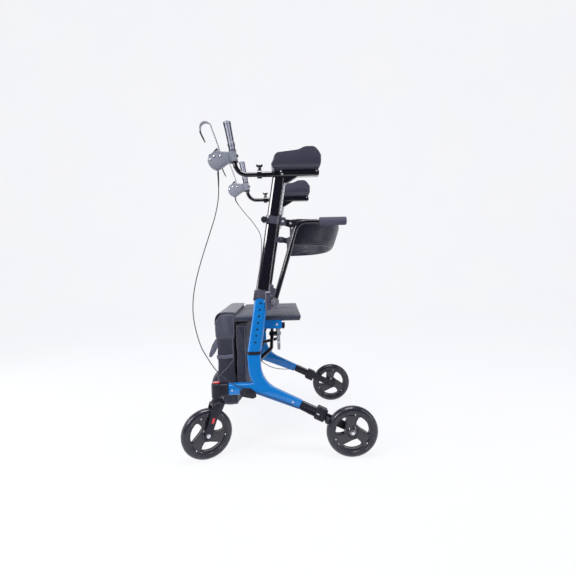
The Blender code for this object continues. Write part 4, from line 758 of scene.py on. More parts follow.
@dataclass
class Workshop:
    """Makes finished pieces for one side of the frame, or for its middle, where side is None."""

    side: Side | None = None

    def name_of(self, thing: str) -> str:
        """Return a name as this side's nodes, bodies and pieces have it."""
        return self.side.name_of(thing) if self.side else thing

    def close(self, mesh: bpy.types.Mesh, join: float, flat: float = 0.0) -> None:
        """Clean a mesh.

        Args:
            mesh: the mesh, whose faces turn outwards.
            join: points nearer than this become one.
            flat: faces that differ by fewer degrees than this become one, or 0.
        """
        shape = bmesh.new()
        shape.from_mesh(mesh)
        bmesh.ops.remove_doubles(shape, verts=shape.verts, dist=join)
        bmesh.ops.dissolve_degenerate(shape, edges=shape.edges, dist=join)
        bmesh.ops.recalc_face_normals(shape, faces=shape.faces)
        if flat:
            bmesh.ops.dissolve_limit(shape, angle_limit=math.radians(flat), verts=shape.verts,
                                     edges=shape.edges)
        shape.to_mesh(mesh)
        shape.free()

    def finish_object(self, mesh: bpy.types.Mesh, finish: Finish, body: str, stands_for: str, sharp: float,
                      bevel: float) -> bpy.types.Object:
        """Link a mesh as a finished piece of the same name.

        Args:
            mesh: the mesh, in world places.
            finish: its finish.
            body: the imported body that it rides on.
            stands_for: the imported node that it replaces, or nothing.
            sharp: edges steeper than this many degrees stay sharp.
            bevel: width of the eased edges, or 0.

        Returns:
            The object.
        """
        mesh.shade_smooth()
        mesh.set_sharp_from_angle(angle=math.radians(sharp))
        mesh.materials.clear()
        mesh.materials.append(finish.material())
        piece = bpy.data.objects.new(mesh.name, mesh)
        bpy.context.scene.collection.objects.link(piece)
        if bevel:
            eased = piece.modifiers.new("eased_edges", "BEVEL")
            eased.width, eased.segments, eased.limit_method = bevel, 2, "ANGLE"
            eased.angle_limit = math.radians(35.0)
            eased.harden_normals = True
        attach(piece, self.name_of(body))
        if stands_for:
            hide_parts(self.name_of(stands_for))
        log.info("%s: %d faces, rides on %s", piece.name, len(mesh.polygons), self.name_of(body))
        return piece

    def make(self, thing: str, shell: Shell, finish: Finish, body: str, stands_for: str = "",
             sharp: float = 38.0) -> bpy.types.Object:
        """Turn a surface into a finished piece.

        Args:
            thing: the piece's name, without its side.
            shell: its surface.
            finish, body, stands_for, sharp: as in finish_object, without their side.

        Returns:
            The object.
        """
        mesh = bpy.data.meshes.new(self.name_of(thing))
        mesh.from_pydata(shell.points.tolist(), [], shell.quads.tolist() + [list(cap) for cap in shell.caps])
        self.close(mesh, 0.000002)
        return self.finish_object(mesh, finish, body, stands_for, sharp, 0.0)

    def refine(self, node: str, finish: Finish, body: str, bevel: float) -> bpy.types.Object:
        """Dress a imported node: a merged copy with flat faces joined and its edges eased.

        Args:
            node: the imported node, without its side.
            finish, body, bevel: as in finish_object.

        Returns:
            The object.
        """
        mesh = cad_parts[self.name_of(node)].data.copy()
        mesh.name = self.name_of(node) + "_dressed"
        self.close(mesh, 0.00001, 1.5)
        return self.finish_object(mesh, finish, body, node, 32.0, bevel)


@dataclass
class Wheel:
    """An eight-inch wheel: soft tyre, web with three swirl openings, hub, beads and screws."""

    name: str
    place: Matrix
    head: float
    hand: int
    radius: float = WHEEL_RADIUS
    width: float = TYRE_WIDTH
    rim: float = 0.073
    web: float = 0.018
    opening_outer: float = 0.0668
    opening_inner: float = 0.0278
    opening_span: float = 80.0
    hub_radius: float = 0.019
    hub_width: float = 0.03

    def openings(self) -> list[Array]:
        """Return the three comma-shaped openings.

        The outer edge is an arc. The inner edge's radius is inner + (tail - inner) s ^ 4.5, where s
        runs from 0 at the head to 1 at the tail.

        Returns:
            Their outlines, a third of a turn apart.
        """
        inner, outer = self.opening_inner, self.opening_outer
        share = np.linspace(1.0, 0.14, 16)
        rim_edge = np.stack([np.full(16, outer), np.linspace(11.0, 70.0, 16)], axis=-1)
        hub_edge = np.stack([inner + (outer - 0.004 - inner) * share ** 4.5, self.opening_span * share],
                            axis=-1)
        nose = np.array([(inner + 0.0012, 6.0), (inner + 0.005, 1.5), (0.5 * (inner + outer), -0.8),
                         (outer - 0.006, 2.0), (outer - 0.0012, 6.0)])
        polar = np.vstack([nose, rim_edge, hub_edge])
        turns = [np.radians(self.head + 120.0 * i + self.hand * polar[:, 1]) for i in range(3)]
        lines = [polar[:, :1] * np.stack([np.cos(turn), np.sin(turn)], axis=-1) for turn in turns]
        return [line[::self.hand] for line in lines]

    def tyre(self) -> Shell:
        """Return the tyre: a closed section with round shoulders and two shallow tread grooves.

        Returns:
            Its surface.
        """
        w, r, rim = self.width / 2, self.radius, self.rim
        side = [(rim, w - 0.004), (rim + 0.0015, w - 0.0016), (rim + 0.006, w - 0.0006),
                (rim + 0.0075, w - 0.0014),
                (rim + 0.009, w - 0.0006), (r - 0.0145, w), (r - 0.0105, w - 0.001), (r - 0.0065, w - 0.0032),
                (r - 0.0032, w - 0.0064), (r - 0.001, w - 0.0105), (r, w - 0.0125), (r - 0.001, w - 0.0132),
                (r - 0.001, w - 0.0144), (r, w - 0.0151)]
        return turned(side + [(a, -b) for a, b in side[::-1]], self.place @ SIDE_VIEW, 96, closed=True)

    def body_shell(self) -> Shell:
        """Return the web with its openings, the raised rims and the hub.

        Returns:
            Its surface.
        """
        turn = self.place @ SIDE_VIEW
        shells = [pierced(self.name + "_web", [circle(self.rim + 0.002, 96)] + self.openings(), self.web,
                          turn, 0.0022)]
        half, hub, r = self.web / 2, self.hub_width / 2, self.hub_radius
        rim = [(0.0672, half - 0.001), (0.0682, half + 0.0026), (0.07, half + 0.004),
               (self.rim + 0.001, half + 0.004),
               (self.rim + 0.001, half - 0.001)]
        cap = [(r + 0.005, half - 0.001), (r + 0.0015, half + 0.003), (r - 0.0005, hub - 0.0012),
               (r - 0.002, hub),
               (0.0135, hub), (0.0128, hub - 0.0022), (0.009, hub - 0.0022), (0.0084, hub - 0.0004),
               (0.006, hub - 0.0004), (0.005, half - 0.001)]
        for face in (-1.0, 1.0):
            for profile, steps in ((rim, 72), (cap, 48)):
                shells.append(turned([(a, face * b) for a, b in profile], turn, steps, closed=True))
        return joined(shells)

    def screws(self) -> Shell:
        """Return the three hub screws and the three rim screws, on both faces.

        Returns:
            Its surface.
        """
        kinds = ((25.0, 0.0109, self.hub_width / 2 - 0.0024, 0.0019),
                 (-12.0, 0.07, self.web / 2 + 0.0036, 0.003))
        heads = []
        for face in (-1, 1):
            flip = Matrix.Rotation(0.0 if face > 0 else math.pi, 4, "X")
            for i in range(3):
                for turn, reach, z, size in kinds:
                    angle = math.radians(self.head + self.hand * turn + 120.0 * i)
                    spot = at(reach * math.cos(angle), reach * math.sin(angle), face * z, flip)
                    heads.append(dome(size, 0.0011, spot, 14))
        return joined(heads).moved(self.place @ SIDE_VIEW)

    def beads(self) -> Shell:
        """Return the beads between rim and tyre and the lips round the openings, on both faces.

        Returns:
            Its surface.
        """
        lines = [((self.rim + 0.0075) * circle(1.0, 72), self.width / 2 - 0.0014, 0.0016, 10)]
        lines += [(lip, self.web / 2, 0.0014, 8) for lip in self.openings()]
        bars = [round_bar(lifted(line, face * z), radius, sides, Z_WAY, loop=True)
                for face in (-1, 1) for line, z, radius, sides in lines]
        return joined(bars).moved(self.place @ SIDE_VIEW)

    def build(self, shop: Workshop) -> None:
        """Make the wheel's pieces.

        Args:
            shop: makes the pieces.
        """
        name, node = self.name, self.name + "_wheel"
        shop.make(name + "_tyre", self.tyre(), TYRE_RUBBER, name, node, 30.0)
        shop.make(name + "_web", self.body_shell(), WHEEL_PLASTIC, name, node, 35.0)
        shop.make(name + "_beads", self.beads(), WHEEL_PLASTIC, name, sharp=50.0)
        shop.make(name + "_screws", self.screws(), ZINC, name)


@dataclass
class Caster:
    """A swivelling front wheel: fork with bearing, reflectors and axle, under its head housing."""

    side: Side
    swivel_x: float = -0.2415
    trail: float = 0.0445
    turn: float = math.radians(25.0)
    crown_low: float = 0.202
    crown: float = 0.0145
    blade: float = 0.005
    gap: float = 0.0035

    @property
    def place(self) -> Matrix:
        """Return the caster's own frame, with its wheel towards local -X."""
        return at(self.swivel_x, self.side.out(), 0, Matrix.Rotation(-self.side.value * self.turn, 4, "Z"))

    @property
    def blade_face(self) -> float:
        """Return how far the blade's outer face lies from the wheel's middle plane."""
        return TYRE_WIDTH / 2 + self.gap + self.blade

    def blade_outline(self) -> Array:
        """Return one fork blade in side view: wide at the crown, drawn in and then round at the axle.

        Returns:
            Its points.
        """
        top = self.crown_low + self.crown - 0.002
        eye = arc((-self.trail, WHEEL_RADIUS), 0.015, 176, 366, 22)
        front = [(-0.024, top), (-0.03, 0.196), (-0.038, 0.168), (-0.048, 0.135), (-0.0572, 0.112)]
        rear = [(-0.0255, 0.112), (-0.0155, 0.14), (-0.003, 0.168), (0.014, 0.192), (0.023, top)]
        return np.vstack([flowing(front, 5), eye[1:-1], flowing(rear, 5)])

    def fork(self) -> Shell:
        """Return crown, blades and bearing as one moulding.

        Returns:
            Its surface.
        """
        out = self.blade_face - self.blade / 2
        top = self.crown_low + self.crown
        shells = [block((0.05, 2 * out + self.blade, self.crown), at(0, 0, self.crown_low + self.crown / 2),
                        0.0045, 0.012)]
        cap = [(0.0, 0.0052), (0.0205, 0.005), (0.024, 0.0032), (0.0272, -0.001), (0.0285, -0.006),
               (0.0, -0.0062)]
        shells.append(turned(cap, at(0, 0, top), 56))
        rib = filleted([(-0.02, top - 0.006), (-0.035, 0.17), (-0.04, 0.14), (-0.031, 0.14), (-0.018, 0.17),
                        (0.006, top - 0.006)], 0.004, 4, closed=True)
        for end in (-1, 1):
            shells.append(plate(self.blade_outline(), self.blade + 0.0004, at(0, end * out, 0, SIDE_VIEW),
                                0.0014))
            shells.append(plate(rib, 0.0016, at(0, end * (self.blade_face + 0.0004), 0, SIDE_VIEW), 0.0006))
        bearing = [(0.0, 0.0165), (0.0165, 0.0165), (0.0172, 0.0158), (0.0172, 0.0125), (0.0162, 0.0118),
                   (0.0162, 0.0105),
                   (0.0195, 0.01), (0.0218, 0.0086), (0.0218, 0.006), (0.0205, 0.0048), (0.0228, 0.003),
                   (0.0215, -0.002), (0.0, -0.002)]
        shells.append(turned(bearing, at(0, 0, top), 48))
        return joined(shells).moved(self.place)

    def bolts(self) -> Shell:
        """Return the axle bolt's head and nut, with their washers.

        Returns:
            Its surface.
        """
        axle = self.place @ at(-self.trail, 0, WHEEL_RADIUS)
        shells = []
        for end in (-1, 1):
            turn = Matrix.Rotation(-end * math.pi / 2, 4, "X")
            for radius, length, edge, lift, sides in ((0.0078, 0.0012, 0.0003, 0.0008, 32),
                                                      (0.0062, 0.0034, 0.0005, 0.003, 6)):
                shells.append(rod(radius, length, axle @ at(0, end * (self.blade_face + lift), 0, turn), edge,
                                  sides))
        return joined(shells)

    def reflectors(self) -> Shell:
        """Return the red reflectors set into the outer face of each blade.

        Returns:
            Its surface.
        """
        turn = SIDE_VIEW @ Matrix.Rotation(math.radians(-17.0), 4, "Z")
        spots = (self.place @ at(-0.0245, end * (self.blade_face + 0.001), 0.1555, turn) for end in (-1, 1))
        return joined(block((0.0095, 0.0215, 0.0018), spot, 0.0006, 0.0016) for spot in spots)

    def head_lens(self) -> Shell:
        """Return the red lens let into the top of the head housing."""
        return block((0.027, 0.02, 0.0026), at(self.swivel_x, self.side.out(), 0.2934), 0.0009, 0.004)

    def build(self, shop: Workshop) -> None:
        """Make the caster's pieces and the wheel in it.

        Args:
            shop: makes the pieces.
        """
        shop.make("fork_moulding", self.fork(), BLACK_PLASTIC, "caster", "fork", 35.0)
        shop.make("fork_bolts", self.bolts(), ZINC, "caster")
        shop.make("fork_reflectors", self.reflectors(), REFLECTOR, "caster")
        shop.refine("head", BLACK_PLASTIC, "side", 0.001)
        shop.make("head_lens", self.head_lens(), REFLECTOR, "side")
        Wheel("front", self.place @ at(-self.trail, 0, WHEEL_RADIUS), 2.0, 1).build(shop)


@dataclass
class SideFrame:
    """One side of the frame: blue arm, upright and leg, sleeve, post, collars and rear wheel."""

    side: Side
    bend: tuple[float, float] = (-0.066, 0.36)
    bend_radius: float = 0.11
    depth: float = 0.05
    width: float = 0.032
    rounding: float = 0.008
    top_z: float = 0.402
    arm_top: float = 0.289
    arm_bottom: float = 0.2455
    arm_start: float = -0.1945
    arm_root: float = -0.088
    leg_end: float = 0.218
    leg_depth: float = 0.036
    post_depth: float = 0.045
    post_width: float = 0.025
    post_cut: float = 0.0112
    post_low: float = 0.52
    post_high: float = 1.0762
    lowest_hole: float = 0.45
    lip_z: float = 0.631
    collar_foot: float = 0.62
    wheel_out: float = 0.039

    def outline(self) -> Array:
        """Return the side view of arm, curved upright and leg.

        Returns:
            Its points.
        """
        centre = (self.bend[0] + self.bend_radius, self.bend[1])
        outer = self.bend_radius + self.depth
        crotch = 180 + math.degrees(math.asin((self.bend[1] - self.arm_top) / outer))
        half = self.depth / 2 + 0.001
        top = axis_x(self.top_z)
        return np.vstack([
            [(self.arm_start, self.arm_top - 0.001)], arc(centre, outer, crotch, 180, 16),
            [(top - half, self.top_z), (top + half, self.top_z)],
            arc(centre, self.bend_radius, 180, 270 - math.degrees(LEG_SLOPE), 28),
            [leg_point(self.leg_end, self.leg_depth / 2), leg_point(self.leg_end, -self.leg_depth / 2),
             (self.arm_root, self.arm_bottom), (self.arm_start, self.arm_bottom)]])

    def tube(self) -> Shell:
        """Return the blue tube with the ears and pin of the cross brace's foot.

        Returns:
            Its surface.
        """
        s, inner = self.side.value, self.side.out(-self.width / 2)
        x, z = BRACE_FOOT[0], BRACE_FOOT[2]
        y = s * BRACE_FOOT[1]
        shells = [pierced("tube", [self.outline()], self.width, self.side.view(), self.rounding, 5)]
        for end in (-1, 1):
            spot = at(x + end * 0.0143, (inner + y) / 2 + s * 0.001, z)
            shells.append(block((0.004, abs(inner - y) + 0.014, 0.018), spot, 0.0008, 0.0012))
        return joined(shells) + rod(0.004, 0.0286, at(x, y, z, ALONG_X), 0.0005, 20)

    def rivets(self) -> Shell:
        """Return the domed rivets on the outer face of the tube."""
        return joined(dome(0.0042, 0.0018, self.side.face(x, self.width / 2 - 0.0002, z))
                      for x, z in ((-0.18, 0.265), (0.054, 0.211)))

    def arm_clip(self) -> Shell:
        """Return the black plastic clip on the outer face of the front arm, which holds the brace's foot.

        Returns:
            Its surface.
        """
        s, face = self.side, self.width / 2
        body = filleted([(-0.15, 0.264), (-0.133, 0.274), (-0.108, 0.272), (-0.088, 0.256), (-0.086, 0.237),
                         (-0.1, 0.231), (-0.124, 0.236), (-0.148, 0.242)], 0.005, 5, closed=True)
        raised = filleted([(-0.144, 0.261), (-0.13, 0.269), (-0.114, 0.266), (-0.112, 0.248), (-0.14, 0.247)],
                          0.004, 5, closed=True)
        shell = plate(body, 0.006, s.view(face + 0.0024), 0.002) + plate(raised, 0.006, s.view(face + 0.006),
                                                                         0.0022)
        return shell + joined(dome(0.0036, 0.0014, s.face(x, face + rise, z))
                              for x, z, rise in ((-0.129, 0.258, 0.0088), (-0.098, 0.25, 0.0053)))

    def leg_hardware(self) -> Shell:
        """Return the axle's end bolt with its washer, and the lug at the brake pin.

        Returns:
            Its surface.
        """
        s = self.side
        hub = s.face(REAR_AXLE[0], self.wheel_out + 0.0153, REAR_AXLE[1])
        washer = rod(0.01, 0.0012, hub @ at(0, 0, 0.001), 0.0004, 28)
        nut = rod(0.0074, 0.0046, hub @ at(0, 0, 0.0036), 0.0009, 6)
        x, z = leg_point(*BRAKE_PIN)
        lug = at(x - 0.014, s.out(0.0148), z - 0.009, Matrix.Rotation(LEG_SLOPE, 4, "Y"))
        return washer + nut + dome(0.0048, 0.0016, hub @ at(0, 0, 0.0058)) + block((0.012, 0.004, 0.005), lug,
                                                                                   0.0008)

    def leg_edge_highlights(self) -> Shell:
        """Return the bright strips along the top and the foot of the leg's end tube, which paint the
        highlights on its edges.

        Returns:
            Its surface.
        """
        strips = []
        for offset, start, end, outboard in ((0.0168, 0.214, 0.156, 0.012), (-0.015, 0.214, 0.156, 0.0128),
                                             (0.0085, 0.108, 0.04, 0.013)):
            ends = np.array([leg_point(start, offset), leg_point(end, offset)])
            strips.append(sweep(in_view(ends, self.side.out(outboard)),
                                rounded_rectangle(0.0016, 0.0022, 0.0006, 2)))
        return joined(strips)

    def sleeve_bushes(self) -> Shell:
        """Return the black bushes in the seven holes of the sleeve.

        Returns:
            Its surface.
        """
        profile = [(0.0, -0.0012), (0.003, -0.0012), (0.0036, 0.0001), (0.0042, 0.0003), (0.0045, 0.0),
                   (0.0045, -0.0006),
                   (0.0032, -0.0022), (0.0, -0.0022)]
        heights = (self.lowest_hole + k * HOLE_PITCH * math.cos(LEAN) for k in range(7))
        return joined(turned(profile, self.side.face(axis_x(z), self.width / 2, z), 20) for z in heights)

    def post_tube(self) -> Shell:
        """Return the post, an eight-sided extrusion, between its two level ends.

        Ring k is the section moved along the post: z is kept and x follows the lean.

        Returns:
            The post's surface.
        """
        half, deep, cut = self.post_depth / 2, self.post_width / 2, self.post_cut
        low = deep - cut * 0.46
        corner = np.array([(half, low), (half - cut, deep), (cut - half, deep), (-half, low)])
        section = filleted(np.vstack([corner, -corner]), 0.0058, 6, closed=True)
        heights = np.array([self.post_low, self.post_low + 0.001, 0.7, 0.9, self.post_high - 0.001,
                            self.post_high])
        inset = np.array([0.96, 1.0, 1.0, 1.0, 1.0, 0.985])[:, None]
        x = axis_x(heights)[:, None] + section[None, :, 0] * inset / math.cos(LEAN)
        y = self.side.out() + section[None, :, 1] * inset
        return lattice(np.stack([x, y, np.broadcast_to(heights[:, None], x.shape)], axis=-1))

    def lip_block(self, size: Colour, ahead: float, edge: float) -> Shell:
        """Return a block that leans with the post, at a distance ahead of its axis at the lip's height."""
        return block(size, at(axis_x(self.lip_z) - ahead, self.side.out(), self.lip_z,
                              Matrix.Rotation(LEAN, 4, "Y")), edge)

    def collar_shadow_and_lip_edge(self) -> Shell:
        """Return the black band under the collar, which paints the shadow line there, and the dark edge of
        its lip.

        Returns:
            Its surface.
        """
        under = at(axis_x(self.collar_foot), self.side.out(), self.collar_foot)
        # the thin black block under the collar paints its shadow line
        return self.lip_block((0.0024, 0.027, 0.041), 0.0302, 0.0008) + block((0.0512, 0.0336, 0.003), under,
                                                                              0.001)

    def gusset(self) -> Shell:
        """Return the black web plate in the corner between post and tray.

        Returns:
            Its surface.
        """
        outline = filleted([(0.0215, 1.0785), (0.021, 1.04), (0.026, 1.04), (0.074, 1.076), (0.074, 1.0785)],
                           0.002, 4, closed=True)
        return plate(outline, 0.01, self.side.view(), 0.0012)

    def flange(self) -> Shell:
        """Return the punched strip along the post's rear edge below the tray, whose near-white colour paints
        the highlight on that edge.

        Returns:
            Its surface.
        """
        middle, half, wide = 1.003, 0.068, 0.0036
        turn = Matrix.Rotation(LEAN, 4, "Y") @ SIDE_VIEW
        place = at(axis_x(middle) + self.post_depth / 2 + 0.0042, self.side.out(0.003), middle, turn)
        outline = filleted([(-wide, -half), (wide, -half), (wide, half), (-wide, half)], 0.0016, 5,
                           closed=True)
        holes = [circle(0.0019, 14) + np.array([0.0004, 0.01 - half + 0.0145 * i]) for i in range(9)]
        return pierced("flange", [outline] + holes, 0.003, place, 0.0004)

    def build(self, shop: Workshop) -> None:
        """Make the side's own pieces.

        Args:
            shop: makes the pieces.
        """
        shop.make("tube", self.tube(), BLUE_PAINT, "side", "frame", 40.0)
        shop.make("tube_rivets", self.rivets(), ZINC, "side")
        shop.make("arm_clip", self.arm_clip(), BLACK_PLASTIC, "side")
        shop.make("post_tube", self.post_tube(), BLACK_PAINT, "rest", "post", 50.0)
        shop.make("collar_lip", self.lip_block((0.007, 0.029, 0.04), 0.0262, 0.0016), COLLAR_CAST, "side")
        # black band under the collar: painted shadow line
        shop.make("collar_shadow_and_lip_edge", self.collar_shadow_and_lip_edge(), BLACK_PLASTIC, "side")
        shop.make("tray_gusset", self.gusset(), BLACK_PAINT, "rest")
        # punched strip whose near-white colour paints a highlight on the post's rear edge
        shop.make("post_flange", self.flange(), FLANGE, "rest")
        shop.make("leg_hardware", self.leg_hardware(), ZINC, "side")
        # bright strips: painted highlights on the leg tube's edges
        shop.make("leg_edge_highlights", self.leg_edge_highlights(), STEEL, "side")
        shop.make("sleeve_bushes", self.sleeve_bushes(), BLACK_PLASTIC, "side")
        for node, finish, body, bevel in (
                ("sleeve", BLUE_PAINT, "side", 0.0009), ("band", BLACK_PLASTIC, "side", 0.0012),
                ("collar", COLLAR_CAST, "side", 0.0014), ("clamp", COLLAR_CAST, "side", 0.0012),
                ("mid_collar", COLLAR_CAST, "rest", 0.0012), ("rear_leg", BLACK_PLASTIC, "side", 0.0012),
                ("brake_arm", BLACK_PLASTIC, "brake", 0.0007), ("back_arm", BLACK_PLASTIC, "back", 0.0011)):
            shop.refine(node, finish, body, bevel)
        axle = at(REAR_AXLE[0], self.side.out(self.wheel_out), REAR_AXLE[1])
        Wheel("rear", axle, 69.0, -1).build(shop)


@dataclass
class SideFittings:
    """Rivets, bolts and links that are fixed to the sleeve and the backrest hinges."""

    side: Side
    strap_y: float = 0.2322
    cap_y: float = 0.235

    def saddle_rivets(self) -> Shell:
        """Return the rivet on the seat bracket and the small screw near the sleeve's top.

        Returns:
            Its surface.
        """
        s = self.side
        rivet = dome(0.005, 0.0022, at(-0.001, s.value * 0.2379, 0.511, s.outward()))
        return rivet + dome(0.0024, 0.001, s.face(axis_x(0.608) + 0.013, 0.0158, 0.608), 14)

    def hinge_bolt(self) -> Shell:
        """Return the head of the backrest's bolt on the collar's lug."""
        z = self.side.hinge_z
        return dome(0.005, 0.002, self.side.face(axis_x(z) + HINGE_X, -0.0001, z))

    def plate_rivets(self) -> Shell:
        """Return the two rivets that hold the band to the hinge plate.

        Returns:
            Its surface.
        """
        s, start = self.side, axis_x(self.side.hinge_z) + HINGE_X
        drop = 0.8 * (s.hinge_z - HINGE_Z)
        return joined(dome(0.0042, 0.0016, at(start + x, s.value * 0.2508, z + drop, s.outward()), 18)
                      for x, z in ((0.03, 0.903), (0.036, 0.884)))

    def strap(self) -> Shell:
        """Return the perforated link that hangs from the seat bracket, with its studs.

        Returns:
            Its surface.
        """
        place = at(0, self.side.value * self.strap_y, 0, SIDE_VIEW)
        outline = filleted([(0.011, 0.506), (0.011, 0.408), (-0.001, 0.408), (-0.001, 0.506)], 0.0055, 6,
                           closed=True)
        holes = [circle(0.0026, 16) + np.array([0.005, z]) for z in (0.486, 0.47, 0.454, 0.438)]
        studs = (at(0.005, self.side.value * self.strap_y, z, SIDE_VIEW) for z in (0.498, 0.418))
        link = pierced("strap", [outline] + holes, 0.0026, place, 0.0005)
        return link + joined(rod(0.0042, 0.006, stud, 0.0008, 18) for stud in studs)

    def bracket_cap(self) -> Shell:
        """Return the black end cap of the seat bracket.

        Returns:
            Its surface.
        """
        y = self.side.value * self.cap_y
        return block((0.012, 0.01, 0.021), at(0.0248, y, 0.508),
                     0.0022) + rod(0.005, 0.016, at(0.024, y, 0.499, SIDE_VIEW), 0.001, 18)

    def build(self, shop: Workshop) -> None:
        """Make the fittings.

        Args:
            shop: makes the pieces.
        """
        shop.make("saddle_rivets", self.saddle_rivets(), ZINC, "side")
        shop.make("hinge_bolt_head", self.hinge_bolt(), ZINC, "rest")
        shop.make("plate_rivets", self.plate_rivets(), ZINC, "back")
        shop.make("strap", self.strap(), STEEL, "side")
        shop.make("bracket_cap", self.bracket_cap(), BLACK_PLASTIC, "side")


@dataclass
class ForearmRest:
    """Forearm rest: tray, bar, handlebar with its grip and brake, and the gutter pad."""

    side: Side
    bar_z: float = 1.0878
    bar_radius: float = 0.009
    bar_inner: float = 0.098
    corner_x: float = -0.135
    bend: float = 0.045
    lean: float = math.radians(9.6)
    grip_low: float = 1.178
    grip_length: float = 0.108
    tray_top: float = 1.0985
    pad_x: float = -0.005
    pad_length: float = 0.1845
    pad_half: float = 0.049
    pad_wall: float = 0.018
    pad_rise: float = 0.064
    pad_swell: float = 0.012
    lever_width: float = 0.018
    lever_pivot: tuple[float, float] = (-0.207, 1.158)
    housing_face: float = 0.0138
    wing_x: float = -0.05
    wing_foot: float = 0.0248

    def up_x(self, height: float) -> float:
        """Return the X of the handlebar's upright part at a height."""
        return self.corner_x - (height - self.bar_z) * math.tan(self.lean)

    def on_handle(self, height: float) -> Matrix:
        """Return the leaning frame on the handlebar."""
        return at(self.up_x(height), self.side.out(), height, Matrix.Rotation(-self.lean, 4, "Y"))

    def handlebar(self) -> Shell:
        """Return the bent tube from under the tray up into the grip.

        Returns:
            Its surface.
        """
        top = self.grip_low + (self.grip_length - 0.006) * math.cos(self.lean)
        corners = np.array([(self.bar_inner, self.bar_z), (self.corner_x, self.bar_z), (self.up_x(top), top)])
        return round_bar(filleted(in_view(corners, self.side.out()), self.bend, 22), self.bar_radius, 28)

    def grip_profile(self) -> list[tuple[float, float]]:
        """Return the grip's radius and height from its ring, through the swell, to its flared end.

        Returns:
            Pairs of radius and height.
        """
        end = self.grip_length
        return [(0.0119, 0.0), (0.0125, 0.0006), (0.0126, 0.011), (0.0121, 0.012), (0.0121, 0.0135),
                (0.0139, 0.015), (0.0145, 0.018), (0.0145, 0.024), (0.0137, 0.0272), (0.0127, 0.03),
                (0.0128, 0.04), (0.0133, 0.06), (0.0138, 0.08), (0.0141, end - 0.016), (0.0136, end - 0.0148),
                (0.0136, end - 0.0136), (0.0148, end - 0.0124), (0.015, end - 0.005), (0.0145, end - 0.0018),
                (0.0128, end - 0.0003), (0.006, end), (0.0, end)]

    def grip(self) -> Shell:
        """Return the dark body of the hand grip; its black between the pale ridges paints the shade in their
        grooves.
        """
        core = [(r if z < 0.014 else max(r - 0.001, 0.0), z) for r, z in self.grip_profile()]
        return turned(core, self.on_handle(self.grip_low), 48)

    def grip_ridges(self) -> Shell:
        """Return the pale ridges of the grip: two broad ones on each side and a narrow one at the rear.

        A ridge at share u across stands 0.6 mm times 1 - u ^ 6 above the grip's own radius.

        Returns:
            All five ridges.
        """
        profile = np.array(self.grip_profile()[1:-2])
        z = np.linspace(0.0015, self.grip_length - 0.0016, 90)
        u = np.linspace(-1.0, 1.0, 15)
        radius = np.interp(z, profile[:, 1], profile[:, 0])[:, None]
        crown = radius + 0.0006 * (1.0 - np.abs(u[None, :]) ** 6) - 0.001 * (np.abs(u[None, :]) > 0.99)
        both = np.concatenate([crown, np.broadcast_to(radius - 0.003, crown.shape)], axis=1)
        ridges = []
        for middle, spread in ((-101.0, 17.0), (-62.0, 16.0), (101.0, 17.0), (62.0, 16.0), (0.0, 11.0)):
            angle = np.radians(middle + spread * u)
            turn = np.concatenate([angle, angle[::-1]])
            height = np.broadcast_to(z[:, None], both.shape)
            ridges.append(lattice(np.stack([both * np.cos(turn), both * np.sin(turn), height], axis=-1)))
        return joined(ridges).moved(self.on_handle(self.grip_low))

    def grip_screw(self) -> Shell:
        """Return the grip's small clamping screw."""
        return dome(0.0026, 0.0014, self.on_handle(1.201) @ at(0.006, self.side.value * 0.0128, 0,
                                                               self.side.outward()), 16)

    def lever_path(self) -> Array:
        """Return the middle line of the bent lever strip.

        Returns:
            Its points.
        """
        low = np.array([self.lever_pivot, (-0.2, 1.179), (-0.203, 1.196), (-0.212, 1.225), (-0.225, 1.263)])
        hook = arc((-0.2465, 1.2626), 0.0215, 8, 165, 6)[1:]
        tail = np.array([(-0.267, 1.248), (-0.262, 1.235), (-0.252, 1.213)])
        return in_view(flowing(np.vstack([low, hook, tail]), 5), self.side.out())

    def lever(self) -> Shell:
        """Return the strip, a flat rounded section carried along its line, with the eye on its pin.

        Returns:
            Its surface.
        """
        width, (x, z) = self.lever_width - 0.0004, self.lever_pivot
        strip = sweep(self.lever_path()[1:], rounded_rectangle(width, 0.005, 0.0018, 3))
        return strip + rod(0.0058, width, at(x, self.side.out(), z, SIDE_VIEW), 0.0006, 28)

    def lever_tip(self) -> Shell:
        """Return the black sleeve on the hooked end of the lever.

        Returns:
            Its surface.
        """
        tail = self.lever_path()[-12:]
        size = np.concatenate([[0.86, 0.98], np.ones(len(tail) - 4), [0.98, 0.82]])
        return sweep(tail, rounded_rectangle(self.lever_width + 0.0014, 0.0056, 0.0022, 4), scale=size)

    def heads(self, spots: Iterable[tuple[float, float]], distance: float, size: float, rise: float,
              steps: int) -> Shell:
        """Return domed heads on both cheeks.

        Args:
            spots: their X and Z.
            distance: how far the cheeks lie from the middle plane.
            size: a head's radius.
            rise: its height.
            steps: points in a full turn.

        Returns:
            All the heads.
        """
        return joined(dome(size, rise, at(x, self.side.out(face * distance), z, self.side.outward(face)),
                           steps)
                      for face in (-1, 1) for x, z in spots)

    def housing_heads(self, size: float, rise: float, lift: float) -> Shell:
        """Return the domed rivets on both cheeks of the brake housing, or the dark discs under them that
        paint the rivets' shadows.
        """
        spots = ((-0.233, 1.1425), (-0.217, 1.1555), (-0.1945, 1.1555))
        return self.heads(spots, self.housing_face + lift, size, rise, 20)

    def tilted_block(self, size: Colour, x: float, z: float, degrees: float, edge: float) -> Shell:
        """Return a block in the middle plane, turned in the side view."""
        return block(size, at(x, self.side.out(), z, Matrix.Rotation(math.radians(degrees), 4, "Y")), edge)

